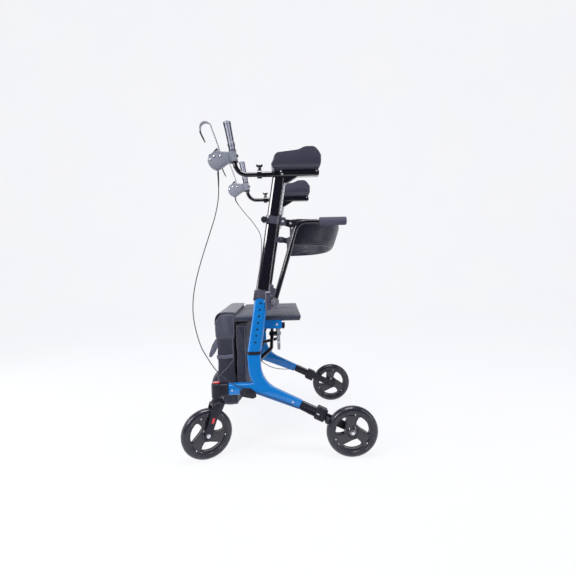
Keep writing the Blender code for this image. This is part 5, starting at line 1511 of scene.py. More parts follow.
    def clamp_lines(self) -> Shell:
        """Return the dark joint lines round the housing's clamp: one upright, one ring above and one below.

        Returns:
            Its surface.
        """
        ring = [(0.012, 0.0), (0.0146, 0.0), (0.015, 0.0004), (0.015, 0.0016), (0.0146, 0.002),
                (0.012, 0.002)]
        upright = block((0.0016, 0.0284, 0.036), self.on_handle(1.154) @ at(-0.0168, 0, 0), 0.0004)
        return upright + joined(turned(ring, self.on_handle(low), closed=True) for low in (1.1748, 1.133))

    def clamp_screw(self) -> Shell:
        """Return the clamp's screw at the back of the housing."""
        return rod(0.0042, 0.015, self.on_handle(1.156) @ at(0.015, 0, 0, SIDE_VIEW), 0.001, 6)

    def housing_rib(self) -> Shell:
        """Return the raised rib that runs round each cheek of the housing.

        Returns:
            Its surface.
        """
        curve = flowing([(-0.156, 1.164), (-0.19, 1.167), (-0.2075, 1.1705), (-0.221, 1.165), (-0.233, 1.153),
                         (-0.2372, 1.14), (-0.233, 1.1265), (-0.225, 1.117), (-0.214, 1.1125),
                         (-0.2015, 1.115),
                         (-0.185, 1.1265), (-0.17, 1.136)], 4)
        return joined(round_bar(in_view(curve, self.side.out(face * self.housing_face)), 0.001, 8)
                      for face in (-1, 1))

    def wing_screw(self) -> Shell:
        """Return the wing knob's hub, wings and stud.

        Returns:
            Its surface.
        """
        foot = self.bar_z + self.wing_foot
        h, top = 0.0125, 0.0125
        wings = np.array([(-h, top - 0.001), (-h, 0.006), (-h + 0.004, 0.0022), (-0.004, 0.0012),
                          (0.004, 0.0012),
                          (h - 0.004, 0.0022), (h, 0.006), (h, top - 0.001), (h - 0.001, top),
                          (h - 0.005, top),
                          (0.004, 0.0072), (-0.004, 0.0072), (0.005 - h, top), (0.001 - h, top)])
        hub = [(0.0, 0.0104), (0.004, 0.0104), (0.0054, 0.0092), (0.0061, 0.002), (0.006, 0.0003),
               (0.003, 0.0),
               (0.003, -0.013), (0.0, -0.013)]
        place = at(self.wing_x, self.side.out(), foot)
        return turned(hub, place, 28) + plate(wings, 0.0058, place @ SIDE_VIEW, 0.0018)

    def pad_rings(self) -> Array:
        """Return the gutter pad as closed rings.

        At a share t along the pad the section is a half ellipse outside and a smaller one inside,
        with round wall tops. Its fill and its crest follow smooth tables of t and X, the wall
        pinches at both ends, and both end faces bulge at their foot and at their top.

        Returns:
            Points of shape (72, points per ring, 3).
        """
        w = np.linspace(0.0, math.pi, 72)
        t = 0.5 - 0.5 * np.cos(w)
        length_x = self.pad_x + self.pad_length * t
        stations = np.array([(0.0, 0.84), (0.025, 0.94), (0.08, 1.0), (0.87, 1.0), (0.96, 0.97), (1.0, 0.9)])
        crest = np.array([(-0.002, 1.129), (0.004, 1.146), (0.017, 1.157), (0.095, 1.1652), (0.106, 1.17),
                          (0.118, 1.1768), (0.154, 1.1768), (0.166, 1.166), (0.178, 1.148)])

        def eased(values: Array) -> Array:
            """Return the running mean of five values."""
            return np.convolve(np.pad(values, 2, mode="edge"), np.ones(5) / 5.0, mode="valid")[:, None]

        fill = eased(np.interp(t, stations[:, 0], stations[:, 1]))
        top = np.interp(length_x, crest[:, 0], crest[:, 1]) - 0.003
        swell = eased((top - self.tray_top - self.pad_rise) / self.pad_swell)
        end = np.clip(np.sin(w), 0.0, 1.0)[:, None]
        pinch = 1.0 - 0.055 * (1.0 - np.clip(end * 3.5, 0.0, 1.0)) ** 2
        base = self.tray_top + 0.0004
        rise = self.pad_rise + self.pad_swell * swell
        half = self.pad_half * fill * pinch
        a = np.linspace(0.0, math.pi, 41)[None, :]
        outer_y = half * np.sign(np.cos(a)) * np.abs(np.cos(a)) ** 0.62
        outer_z = base + rise - rise * np.sin(a) ** 0.55
        b = np.linspace(math.pi, 0.0, 33)[None, 1:-1]
        wall = self.pad_wall + 0.0015 * (1.0 - end)
        inner_y = (half - wall) * np.cos(b) * (1.0 + 0.16 * np.abs(np.cos(b)) ** 7)
        inner_z = base + rise + 0.0045 * np.abs(np.cos(b)) ** 2.5 - (rise - wall * 0.9) * np.sin(b) ** 0.8
        y = np.concatenate([outer_y, inner_y], axis=1)
        z = np.concatenate([outer_z, inner_z], axis=1)
        share = np.clip((z - base) / (rise + 0.0045), 0.0, 1.0)
        front, rear = np.exp(-t / 0.05)[:, None], np.exp(-(1.0 - t) / 0.05)[:, None]
        x = length_x[:, None] + (2.0 * share - 1.0) ** 2 * (0.011 * front - 0.008 * rear * (share < 0.5))
        return np.stack([x, self.side.out() + y, z], axis=-1)

    def build(self, shop: Workshop) -> None:
        """Make the rest's pieces.

        Args:
            shop: makes the pieces.
        """
        screws = self.heads(((0.031, 1.0935), (0.035, 1.083), (0.164, 1.094)), 0.0179, 0.0031, 0.0017, 16)
        # black blocks in the housing's slots paint the shade inside them
        slot = self.tilted_block((0.01, 0.0282, 0.0034), -0.2335, 1.1598, -38.0, 0.001)
        root = self.tilted_block((0.019, self.lever_width - 0.003, 0.0052), -0.2125, 1.179, -44.0, 0.0016)
        shop.refine("tray", BLACK_PAINT, "rest", 0.001)
        shop.make("tray_screws", screws, ZINC, "rest")
        cushion = shop.make("pad_cushion", lattice(self.pad_rings()), PAD_COVER, "rest", "pad", 60.0)
        shop.make("handlebar", self.handlebar(), BLACK_PAINT, "handle", "handle_tube", 60.0)
        # black grip body shows between the pale ridges and paints the shade in their grooves
        shop.make("hand_grip", self.grip(), BLACK_PLASTIC, "handle", "grip", 34.0)
        shop.make("grip_ridges", self.grip_ridges(), GRIP_GREY, "handle", sharp=40.0)
        # dark discs round the housing rivets: painted shadows
        shop.make("housing_rivet_shadows", self.housing_heads(0.0062, 0.0008, 0.0002), BLACK_PLASTIC, "handle")
        # painted shade inside the housing's slot
        shop.make("housing_slot_shade", slot, BLACK_PLASTIC, "handle")
        shop.make("clamp_lines", self.clamp_lines(), BLACK_PLASTIC, "handle")
        shop.make("clamp_screw", self.clamp_screw(), BLACK_PLASTIC, "handle")
        # painted shade in the slot where the lever enters the housing
        shop.make("lever_slot_shade", root, BLACK_PLASTIC, "lever")
        shop.make("grip_screw", self.grip_screw(), ZINC, "handle")
        shop.refine("brake_housing", GREY_CAST, "handle", 0.0014)
        shop.make("housing_rivets", self.housing_heads(0.0046, 0.0026, 0.0008), ZINC, "handle")
        shop.make("housing_rib", self.housing_rib(), GREY_CAST, "handle")
        shop.make("lever_strip", self.lever(), STEEL, "lever", "brake_lever", 40.0)
        shop.make("lever_tip", self.lever_tip(), BLACK_PLASTIC, "lever", sharp=50.0)
        shop.make("wing_screw", self.wing_screw(), BLACK_PLASTIC, "wing", "wing_knob", 40.0)


@dataclass
class AssistHandle:
    """Stand-assist handle at the sleeve, with its foam grip and the lobed knobs of the side."""

    side: Side
    pivot: tuple[float, float] = (-0.005, 0.604)
    corner_x: float = 0.09
    bar_z: float = 0.907
    end_x: float = 0.276
    tube_radius: float = 0.0092
    bend: float = 0.045
    grip_radius: float = 0.0158
    grip_length: float = 0.104
    knob_face: float = 0.0171
    collar_knob_face: float = 0.0173
    collar_knob_rise: float = 0.006
    collar_knob_ahead: float = 0.031

    def tube(self) -> Shell:
        """Return the bent tube with the eye on its stud.

        Returns:
            Its surface.
        """
        corners = np.array([self.pivot, (self.corner_x, self.bar_z), (self.end_x - 0.004, self.bar_z)])
        tube = round_bar(filleted(in_view(corners, self.side.out()), self.bend, 24), self.tube_radius, 28)
        ring = [(0.0041, -0.011), (0.013, -0.011), (0.0135, -0.0105), (0.0135, 0.0105), (0.013, 0.011),
                (0.0041, 0.011)]
        return tube + turned(ring, at(self.pivot[0], self.side.out(), self.pivot[1], SIDE_VIEW), closed=True)

    def grip(self) -> Shell:
        """Return the foam grip with rounded ends.

        Returns:
            Its surface.
        """
        r, length = self.grip_radius, self.grip_length
        w = np.linspace(0.0, math.pi / 2, 6)
        end = [(r - 0.0045 + 0.0045 * math.sin(a), length - 0.0045 + 0.0045 * math.cos(a)) for a in w]
        start = [(r - 0.003 + 0.003 * math.cos(a), 0.003 - 0.003 * math.sin(a)) for a in w]
        profile = [(0.0, length)] + end + start + [(self.tube_radius + 0.0002, 0.0)]
        return turned(profile, at(self.end_x - length, self.side.out(), self.bar_z, ALONG_X))

    def knob(self, radius: float, depth: float, place: Matrix, stud: float, swell: float) -> Shell:
        """Return a seven-lobed clamping knob with a dished face and its stud.

        The rim's radius is r (1 + swell cos 7a).

        Args:
            radius: the rim's radius r.
            depth: how far the face stands off the foot.
            place: the frame at its foot, with local Z out of the face.
            stud: how far the stud reaches behind the foot.
            swell: the depth of the lobes, as a share of the radius.

        Returns:
            The knob's surface.
        """
        rim = np.array([(0.62, 0.1), (0.8, 0.16), (0.93, 0.24), (0.94, 0.72), (0.88, 0.86), (0.76, 0.92),
                        (0.62, 0.9)])
        core = np.array([(0.0, 1.0), (0.3, 1.0), (0.42, 0.95), (0.5, 0.84), (0.66, 0.84), (0.66, 0.0)])
        size = np.array([radius, depth])
        foot = [(0.0038, 0.0), (0.0038, -stud), (0.0, -stud)]
        return (turned(rim * size, place, 84, closed=True, lobes=7, depth=swell)
                + turned(np.vstack([core * size, foot]), place, 28))

    def build(self, shop: Workshop) -> None:
        """Make the handle's pieces and the knobs.

        Args:
            shop: makes the pieces.
        """
        s = self.side
        shop.make("assist_bar", self.tube(), BLACK_PAINT, "assist", "assist_tube", 50.0)
        shop.make("assist_foam", self.grip(), GRIP_FOAM, "assist", "assist_grip", 50.0)
        spot = s.face(self.pivot[0], self.knob_face, self.pivot[1])
        knob = self.knob(0.0152, 0.015, spot, 0.0346, 0.17)
        shop.make("assist_hand_knob", knob, KNOB_CAST, "assist_turn", "assist_knob", 35.0)
        z = s.hinge_z + self.collar_knob_rise
        spot = s.face(axis_x(z) - self.collar_knob_ahead, self.collar_knob_face, z)
        knob = self.knob(0.0125, 0.012, spot, 0.036, 0.06)
        shop.make("collar_hand_knob", knob, BLACK_PLASTIC, "collar_turn", "collar_knob", 35.0)


@dataclass
class BrakeCable:
    """Black brake cable, held by its housings at both ends."""

    side: Side
    route: tuple[tuple[float, float, float], ...]
    radius: float = 0.0018
    boot_radius: float = 0.0036

    def line(self) -> Array:
        """Return the cable's centre line: the curve through X, distance outboard and Z.

        Returns:
            Its points.
        """
        points = np.array(self.route)
        points[:, 1] = self.side.value * (POST_PLANE + points[:, 1])
        return flowing(points, 10)

    def boots(self) -> Shell:
        """Return the rubber boots where the cable leaves the lever and enters the leg.

        Returns:
            Its surface.
        """
        line = self.line()
        return joined(round_bar(run, self.boot_radius, 20, scale=np.linspace(start, end, len(run)))
                      for run, start, end in ((line[:14], 1.0, 0.62), (line[-10:], 0.66, 1.0)))

    def build(self, shop: Workshop) -> None:
        """Make the cable and its boots.

        Args:
            shop: makes the pieces.
        """
        housing = round_bar(self.line(), self.radius, 14)
        shop.make("cable_housing", housing, CABLE_SKIN, "side", "brake_cable", 60.0)
        shop.make("cable_boots", self.boots(), BLACK_PLASTIC, "side")


def reach_along(path: Array) -> Array:
    """Return how far each point of a path lies from its start, along it."""
    return np.concatenate([[0.0], np.cumsum(np.linalg.norm(np.diff(path, axis=0), axis=1))])


def stitches(path: Array, spacing: float = 0.0042, thread: float = 0.00042) -> Shell:
    """Return a row of stitches along a path.

    Each is a spindle of four rings of five points: p + s L t + r (a cos w + b sin w), where its
    radius r falls off at both ends.

    Args:
        path: points of shape (n, 3).
        spacing: the length L from one stitch to the next.
        thread: the thread's radius.

    Returns:
        All the stitches, evenly spaced.
    """
    reach = reach_along(path)
    count = max(2, int(reach[-1] / spacing))
    where = (np.arange(count) + 0.5) * reach[-1] / count

    def point(distance: Array) -> Array:
        """Return the points of the path at distances along it."""
        inside = np.clip(distance, 0.0, reach[-1])
        return np.stack([np.interp(inside, reach, path[:, i]) for i in range(3)], axis=-1)

    along = unit(point(where + spacing * 0.2) - point(where - spacing * 0.2))[:, None, None, :]
    first = unit(np.cross(along, np.array([0.31, 0.52, 0.79])))
    w = np.linspace(0.0, 2 * np.pi, 5, endpoint=False)[None, None, :, None]
    share = np.array([-0.36, -0.26, 0.26, 0.36])[None, :, None, None]
    size = thread * np.array([0.35, 1.0, 1.0, 0.35])[None, :, None, None]
    round_ = np.cos(w) * first + np.sin(w) * np.cross(along, first)
    grid = point(where)[:, None, None, :] + share * spacing * along + size * round_
    one = lattice(grid[0])
    starts = np.arange(count) * len(one.points)
    quads = (one.quads[None, :, :] + starts[:, None, None]).reshape(-1, 4)
    caps = tuple(tuple(int(i) + start for i in cap) for start in starts.tolist() for cap in one.caps)
    return Shell(grid.reshape(-1, 3), quads, caps)


def rumple(u: Array, v: Array, seed: int, waves: int = 7, sharp: float = 1.0) -> Array:
    """Return soft creases between -1 and 1.

    It is the mean of waves of random direction and length, each 1 - 2 |sin| ^ sharp.

    Args:
        u, v: the surface's own coordinates in metres.
        seed: which creases.
        waves: how many waves.
        sharp: the lower the power, the broader the ridges.

    Returns:
        The height of the creases at each point.
    """
    random = np.random.default_rng(seed)
    total = np.zeros(np.broadcast(u, v).shape)
    draws = (random.uniform(0, math.pi, waves), random.uniform(0.035, 0.13, waves),
             random.uniform(0, 6.28, waves))
    for angle, pitch, phase in zip(*draws):
        across = (u * math.cos(angle) + v * math.sin(angle)) / pitch
        total += 1.0 - 2.0 * np.abs(np.sin(math.pi * across + phase
                                           + 0.9 * np.sin(v / 0.05 + phase))) ** sharp
    return total / waves


def rounded_off(distance: Array, radius: float) -> Array:
    """Return a quarter ellipse: 0 at a border and 1 from the radius inwards."""
    return np.sqrt(np.clip(1.0 - (1.0 - np.clip(distance / radius, 0.0, 1.0)) ** 2, 0.0, 1.0))


@dataclass
class Brace:
    """One tube of the scissor brace, with its foot barrel, its boss and the seat rail on top."""

    name: str
    foot: Side
    x: float
    boss: tuple[float, float]
    high_y: float = 0.225
    rail_z: float = 0.5314
    rail_radius: float = 0.0085
    rail_x: tuple[float, float] = (-0.162, 0.091)
    radius: float = 0.008

    def height(self, y: float) -> float:
        """Return the tube's height at a Y: it rises evenly from its foot."""
        slope = (self.rail_z - self.radius - BRACE_FOOT[2]) / (BRACE_FOOT[1] + self.high_y)
        return BRACE_FOOT[2] + (BRACE_FOOT[1] - self.foot.value * y) * slope

    def barrel(self, radius: float, half: float, place: Matrix, steps: int) -> Shell:
        """Return a bored barrel of a half length, with its rims eased.

        Args:
            radius: its radius.
            half: half its length.
            place: where it stands.
            steps: how many points take up a curve.

        Returns:
            Its surface.
        """
        ring = [(0.0043, -half), (radius - 0.0005, -half), (radius, 0.0005 - half), (radius, half - 0.0005),
                (radius - 0.0005, half), (0.0043, half)]
        return turned(ring, place, steps, closed=True)

    def build(self, shop: Workshop) -> None:
        """Make the bent tube with barrel, boss and rail.

        Args:
            shop: makes the pieces.
        """
        s, (foot_x, low_y, low_z) = self.foot.value, BRACE_FOOT
        bend_y, knee_y, high_y = s * (low_y - 0.038), s * (low_y - 0.13), -s * self.high_y
        corners = [(foot_x, s * low_y, low_z), (foot_x, bend_y, self.height(bend_y)),
                   (self.x, knee_y, self.height(knee_y)), (self.x, high_y, self.rail_z - self.radius)]
        tube = round_bar(filleted(corners, 0.05, 12), self.radius, 24, X_WAY)
        barrel = self.barrel(0.009, 0.012, at(foot_x, s * low_y, low_z, ALONG_X), 28)
        middle = at(sum(self.boss) / 2, 0, self.height(0.0), ALONG_X)
        boss = self.barrel(0.0115, (self.boss[1] - self.boss[0]) / 2, middle, 32)
        place = at(sum(self.rail_x) / 2, high_y, self.rail_z, ALONG_X)
        rail = rod(self.rail_radius, self.rail_x[1] - self.rail_x[0], place, 0.0012, 28)
        shop.make(self.name + "_tube", tube + barrel + boss + rail, BLACK_PAINT, self.name, self.name, 45.0)


@dataclass
class SeatHalf:
    """One padded half of the seat, hemmed over its rail."""

    side: Side
    x: tuple[float, float] = (-0.165, 0.094)
    inner: float = 0.0006
    outer: float = 0.2438
    under: float = 0.5402
    top: float = 0.5496
    hem_low: float = 0.5297
    rail_face: float = 0.2342
    outer_seam: float = 0.02
    seam_inset: float = 0.014

    def section(self) -> Array:
        """Return the ring of the panel and its hem: outboard distance, height, and how far padding lifts it.

        Returns:
            Its points.
        """
        across = np.linspace(0.0, 1.0, 61)
        y = self.inner + (self.outer - 0.006 - self.inner) * across
        crown = np.sin(np.pi * np.clip(across * 1.04 - 0.01, 0.0, 1.0)) ** 0.35
        seam = sum(np.exp(-((y - spot) / 0.0022) ** 2) for spot in self.seams())
        top = np.stack([y, np.full(61, self.top - 0.0034), np.clip(crown - 0.62 * seam, 0.0, 1.0)], axis=-1)
        edge = arc((self.outer - 0.006, self.top - 0.0094), 0.006, 84, 0, 7)
        hem = arc((self.outer - 0.0026, self.hem_low + 0.0026), 0.0026, 0, -180, 8)
        back = [(self.rail_face + 0.0005, self.under - 0.003), (self.rail_face, self.under - 0.0004),
                (self.rail_face - 0.003, self.under)]
        base = np.column_stack([np.linspace(self.rail_face - 0.01, self.inner, 20), np.full(20, self.under)])
        nose = arc((self.inner + 0.0026, self.under + 0.003), 0.0026, 200, 110, 4)
        return np.vstack([top, lifted(np.vstack([edge, hem, back, base, nose]))])

    def seams(self) -> tuple[float, float]:
        """Return the outboard distances of the two border seams."""
        return self.outer - self.outer_seam, self.inner + self.seam_inset

    def rings(self) -> Array:
        """Return the rings along X.

        Both ends close on a quarter ellipse, the padding rises over the first 30 mm, and faint
        hollows run across where people sit.

        Returns:
            Points of shape (66, points per ring, 3).
        """
        ring = self.section()
        t = 0.5 - 0.5 * np.cos(np.linspace(0.0, math.pi, 66))[:, None]
        x = self.x[0] + (self.x[1] - self.x[0]) * t
        inset = np.minimum(x - self.x[0], self.x[1] - x)
        puff = smoothstep(0.002, 0.026, inset) * (1.0
                                                  - 0.6 * np.exp(-((inset - self.seam_inset) / 0.0024) ** 2))
        middle_z = 0.5 * (self.under + self.top - 0.0034)
        y, height, lift = (np.broadcast_to(ring[:, i], (66, len(ring))) for i in range(3))
        z = middle_z + (height - middle_z) * (0.3 + 0.7 * rounded_off(inset, 0.0045))
        wave = 0.0009 * rumple(x, y, 11 + self.side.value, 6) * (lift > 0.05)
        return np.stack([np.broadcast_to(x, y.shape), self.side.value * y, z + (0.0034 * lift + wave) * puff],
                        axis=-1)

    def thread(self) -> Shell:
        """Return the stitching along the border seams, 0.2 mm above the cover.

        Returns:
            Its surface.
        """
        rings = self.rings() + np.array([0.0, 0.0, 0.0002])
        across = self.section()[:61, 0]
        lines = [rings[6:-6, int(np.argmin(np.abs(across - spot)))] for spot in self.seams()]
        for x in (self.x[0] + self.seam_inset, self.x[1] - self.seam_inset):
            lines.append(rings[int(np.argmin(np.abs(rings[:, 0, 0] - x))), 4:57])
        return joined(stitches(line) for line in lines)

    def build(self, shop: Workshop) -> None:
        """Make the panel and its stitching.

        Args:
            shop: makes the pieces.
        """
        panel = shop.make("seat_panel", lattice(self.rings()), SEAT_COVER, "seat_half", "seat", 60.0)
        shop.make("seat_thread", self.thread(), THREAD, "seat_half", sharp=60.0)


@dataclass
class Bag:
    """Cloth bag in front of the seat: two compartments, a lidded pouch, bindings and a pull tab."""

    half: float = 0.204
    foot_half: float = 0.112
    waist: tuple[float, float] = (0.203, 0.24)
    tab_y: float = 0.196
    pouch_z: tuple[float, float] = (0.45, 0.556)

    def half_at(self, z: Array) -> Array:
        """Return the half width at a height: narrow below the waist, where the casters swing."""
        return self.foot_half + (self.half - self.foot_half) * smoothstep(self.waist[0], self.waist[1], z)

    def sack(self, x: tuple[float, float], z: tuple[float, float], corner: float, seed: int, crease: float,
             sag: float) -> Array:
        """Return a soft box as a grid of rings.

        A ring is a rounded rectangle. Its faces bulge as the fourth root of the distance to their
        borders, creases are added outwards, and the top and bottom close on quarter ellipses.

        Args:
            x: front and rear X.
            z: lowest and highest Z.
            corner: radius of the upright edges.
            seed: which creases.
            crease: their depth in metres.
            sag: how much the lower half stands fuller, in metres.

        Returns:
            Points of shape (rings, points per ring, 3).
        """
        share = 0.5 - 0.5 * np.cos(np.linspace(0.0, math.pi, 84))
        heights = z[0] + (z[1] - z[0]) * share
        width, middle = x[1] - x[0], (x[0] + x[1]) / 2
        flat_y, flat_x = np.linspace(-1.0, 1.0, 56), np.linspace(-1.0, 1.0, 26)
        bend = np.linspace(0.0, math.pi / 2, 6)[1:-1]
        close = rounded_off(np.minimum(heights - z[0], z[1] - heights), 0.016)
        half = self.half_at(heights)
        hx, hy = width / 2 - corner, (half - corner)[:, None]

        def face(across: Array, along: Array) -> Array:
            """Return one wall's points for every ring."""
            shape = np.broadcast_shapes(np.shape(across), np.shape(along), (84, 1))
            return np.stack([np.broadcast_to(across, shape), np.broadcast_to(along, shape)], axis=-1)

        def rounding(cx: float, sy: float, start: float) -> Array:
            """Return one upright corner's points for every ring."""
            a = start + bend
            return face(cx * hx + corner * np.cos(a), sy * hy + corner * np.sin(a))

        rings = np.concatenate([
            face(-(hx + corner), hy * flat_y[::-1]), rounding(-1, -1, math.pi),
            face(hx * flat_x, -(hy + corner)), rounding(1, -1, 1.5 * math.pi),
            face(hx + corner, hy * flat_y), rounding(1, 1, 0.0),
            face(hx * flat_x[::-1], hy + corner), rounding(-1, 1, 0.5 * math.pi)], axis=1)
        px, py = rings[..., 0], rings[..., 1]
        fx = np.clip(1.0 - (px / (width / 2)) ** 2, 0.0, 1.0)
        fy = np.clip(1.0 - (py / half[:, None]) ** 2, 0.0, 1.0)
        up = np.clip(1.0 - (2.0 * share - 1.0) ** 2, 0.0, 1.0)[:, None]
        low = (1.0 - share)[:, None]
        normal_x = np.sign(px) * smoothstep(0.8, 1.0, np.abs(px) / (width / 2))
        normal_y = np.sign(py) * smoothstep(0.94, 1.0, np.abs(py) / half[:, None])
        puff = up ** 0.25 * (fy * np.abs(normal_x) + fx * np.abs(normal_y)) ** 0.35
        around = np.where(np.abs(normal_x) > 0.5, py, px)
        folds = rumple(around, heights[:, None] * 0.8 + 0.3 * around, seed, 8, 0.7)
        out_by = (puff - 1.0) * 0.006 + crease * folds * up ** 0.3 + sag * low * up * puff
        shrink = (0.8 + 0.2 * close)[:, None]
        gx = middle + (px + normal_x * out_by) * shrink
        gy = (py + normal_y * out_by) * (0.94 + 0.06 * close)[:, None]
        gz = heights[:, None] + 0.004 * rumple(px * 1.3, py * 0.7, seed + 5, 5) * up * 0.5
        return np.stack([gx, gy, np.broadcast_to(gz, gx.shape)], axis=-1)

    def soften(self, piece: bpy.types.Object) -> None:
        """Give a piece of the bag its own copy of its mesh."""
        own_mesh(piece)

    def bindings(self, grids: list[Array]) -> Shell:
        """Return the piping on the upright corners and the rims of each compartment.

        Args:
            grids: the compartments' points.

        Returns:
            Its surface.
        """
        bars = []
        for grid in grids:
            bars += [round_bar(grid[5:-5:2, column], 0.0019, 8, (1.0, 0.2, 0.1))
                     for column in (57, 86, 145, 173)]
            bars += [round_bar(grid[row, ::2], 0.0017, 8, Z_WAY, loop=True) for row in (8, -9)]
        return joined(bars)

    def pocket(self, side: Side) -> Shell:
        """Return the side pocket: a puffed patch whose mouth runs on a slant.

        It stands out by the fourth root of the distance to its border, with creases.

        Args:
            side: which side of the bag.

        Returns:
            The pocket's surface.
        """
        u, v = np.linspace(0.0, 1.0, 30)[None, :], np.linspace(0.0, 1.0, 40)[:, None]
        low = 0.245
        x = np.broadcast_to(-0.245 + 0.066 * u, (40, 30))
        z = low + (0.296 + 0.069 * u - low) * v
        border = (4 * u * (1 - u) * np.minimum(4 * v, 1.0)).clip(0, 1) ** 0.25
        puff = 0.005 * border + 0.0012 * rumple(x * 1.5, z, 77, 6, 0.7) * border
        y = self.half - 0.005 + 0.0045 * border + puff * 0.8
        face = np.stack([x, side.value * y, z], axis=-1)
        back = face - np.array([0.0, side.value * 0.003, 0.0])
        return lattice(np.concatenate([face, back[:, ::-1]], axis=1))

    def pouch(self) -> Array:
        """Return the lidded pouch at the top, whose front edge leans back under the flap.

        Returns:
            Its points.
        """
        low, high = self.pouch_z
        box = self.sack((-0.2545, -0.169), self.pouch_z, 0.01, 31, 0.005, 0.001)
        box[..., 0] += 0.02 * smoothstep(0.62, 1.0,
                                         (box[..., 2] - low) / (high - low)) * (box[..., 0] < -0.212)
        return box

    def flap(self) -> Shell:
        """Return the flap that runs from the lid towards the seat.

        Returns:
            Its surface.
        """
        line = flowing([(-0.2525, 0.508), (-0.25, 0.535), (-0.238, 0.553), (-0.215, 0.5578), (-0.19, 0.5575),
                        (-0.169, 0.556)], 8)
        y = np.linspace(-0.198, 0.198, 90)
        ripple = 0.0009 * rumple(line[:, :1] + line[:, 1:], y[None, :], 41, 6)
        x, z = line[:, :1] - ripple * 0.7, line[:, 1:] + ripple + 0.0006
        top, low = (np.stack([x + dx, np.broadcast_to(y, x.shape), z + dz], axis=-1)
                    for dx, dz in ((-0.0008, 0.001), (0.001, -0.0012)))
        return lattice(np.concatenate([top, low[:, ::-1]], axis=1))

    def tab(self, side: Side) -> Shell:
        """Return a pull tab: a pointed flap that hangs off the pouch's front corner.

        Args:
            side: which side of the object.

        Returns:
            Its surface.
        """
        outline = filleted([(-0.234, 0.456), (-0.25, 0.45), (-0.264, 0.427), (-0.277, 0.392),
                            (-0.2785, 0.379),
                            (-0.27, 0.38), (-0.256, 0.398), (-0.24, 0.427)], 0.0028, 4, closed=True)
        y = side.value * self.tab_y
        return plate(outline, 0.0036, at(0, y, 0, SIDE_VIEW), 0.0012) + round_bar(in_view(outline, y), 0.0021,
                                                                                  8, loop=True)

    def webbing(self, side: Side) -> Shell:
        """Return the band sewn across the compartment's side and the slanted mouth of its pocket.

        Args:
            side: which side of the object.

        Returns:
            Its surface.
        """
        share = np.linspace(0.0, 1.0, 24)
        strips = []
        for (x0, z0), (x1, z1), width, out_by in (((-0.247, 0.378), (-0.18, 0.38), 0.016, 0.0012),
                                                  ((-0.244, 0.296), (-0.179, 0.365), 0.004, 0.0046)):
            y = side.value * (self.half - 0.001 + out_by * np.sin(np.pi * share) ** 0.4)
            path = np.stack([x0 + (x1 - x0) * share, y,
                             z0 + (z1 - z0) * share + 0.0012 * np.sin(share * 9.0)], axis=-1)
            strips.append(sweep(path, rounded_rectangle(0.0022, width, 0.0009, 3)))
        return joined(strips)

    def build(self, shop: Workshop) -> None:
        """Make the bag's pieces, each with its own mesh.

        Args:
            shop: makes the pieces.
        """
        front = self.sack((-0.25, -0.1745), (0.144, 0.462), 0.009, 3, 0.008, 0.003)
        rear = self.sack((-0.1705, -0.1225), (0.188, 0.508), 0.013, 17, 0.008, 0.002)
        pouch = self.pouch()
        rows = [("bag_front", lattice(front), BAG_CLOTH, "bag", 60.0),
                ("bag_rear", lattice(rear), BAG_CLOTH, "bag", 60.0),
                ("bag_pouch", lattice(pouch), BAG_COVER, "bag", 60.0),
                ("bag_bindings", self.bindings([front, rear, pouch]), BAG_TRIM, "", 60.0),
                ("bag_flap", self.flap(), BAG_COVER, "", 50.0),
                ("bag_tabs", self.tab(Side.LEFT) + self.tab(Side.RIGHT), BAG_TRIM, "", 50.0)]
        for side in Side:
            rows += [(side.name_of("bag_pocket"), self.pocket(side), BAG_CLOTH, "", 55.0),
                     (side.name_of("bag_webbing"), self.webbing(side), BAG_TRIM, "", 50.0)]
        for name, shell, finish, node, sharp in rows:
            self.soften(shop.make(name, shell, finish, "left_side", node, sharp))


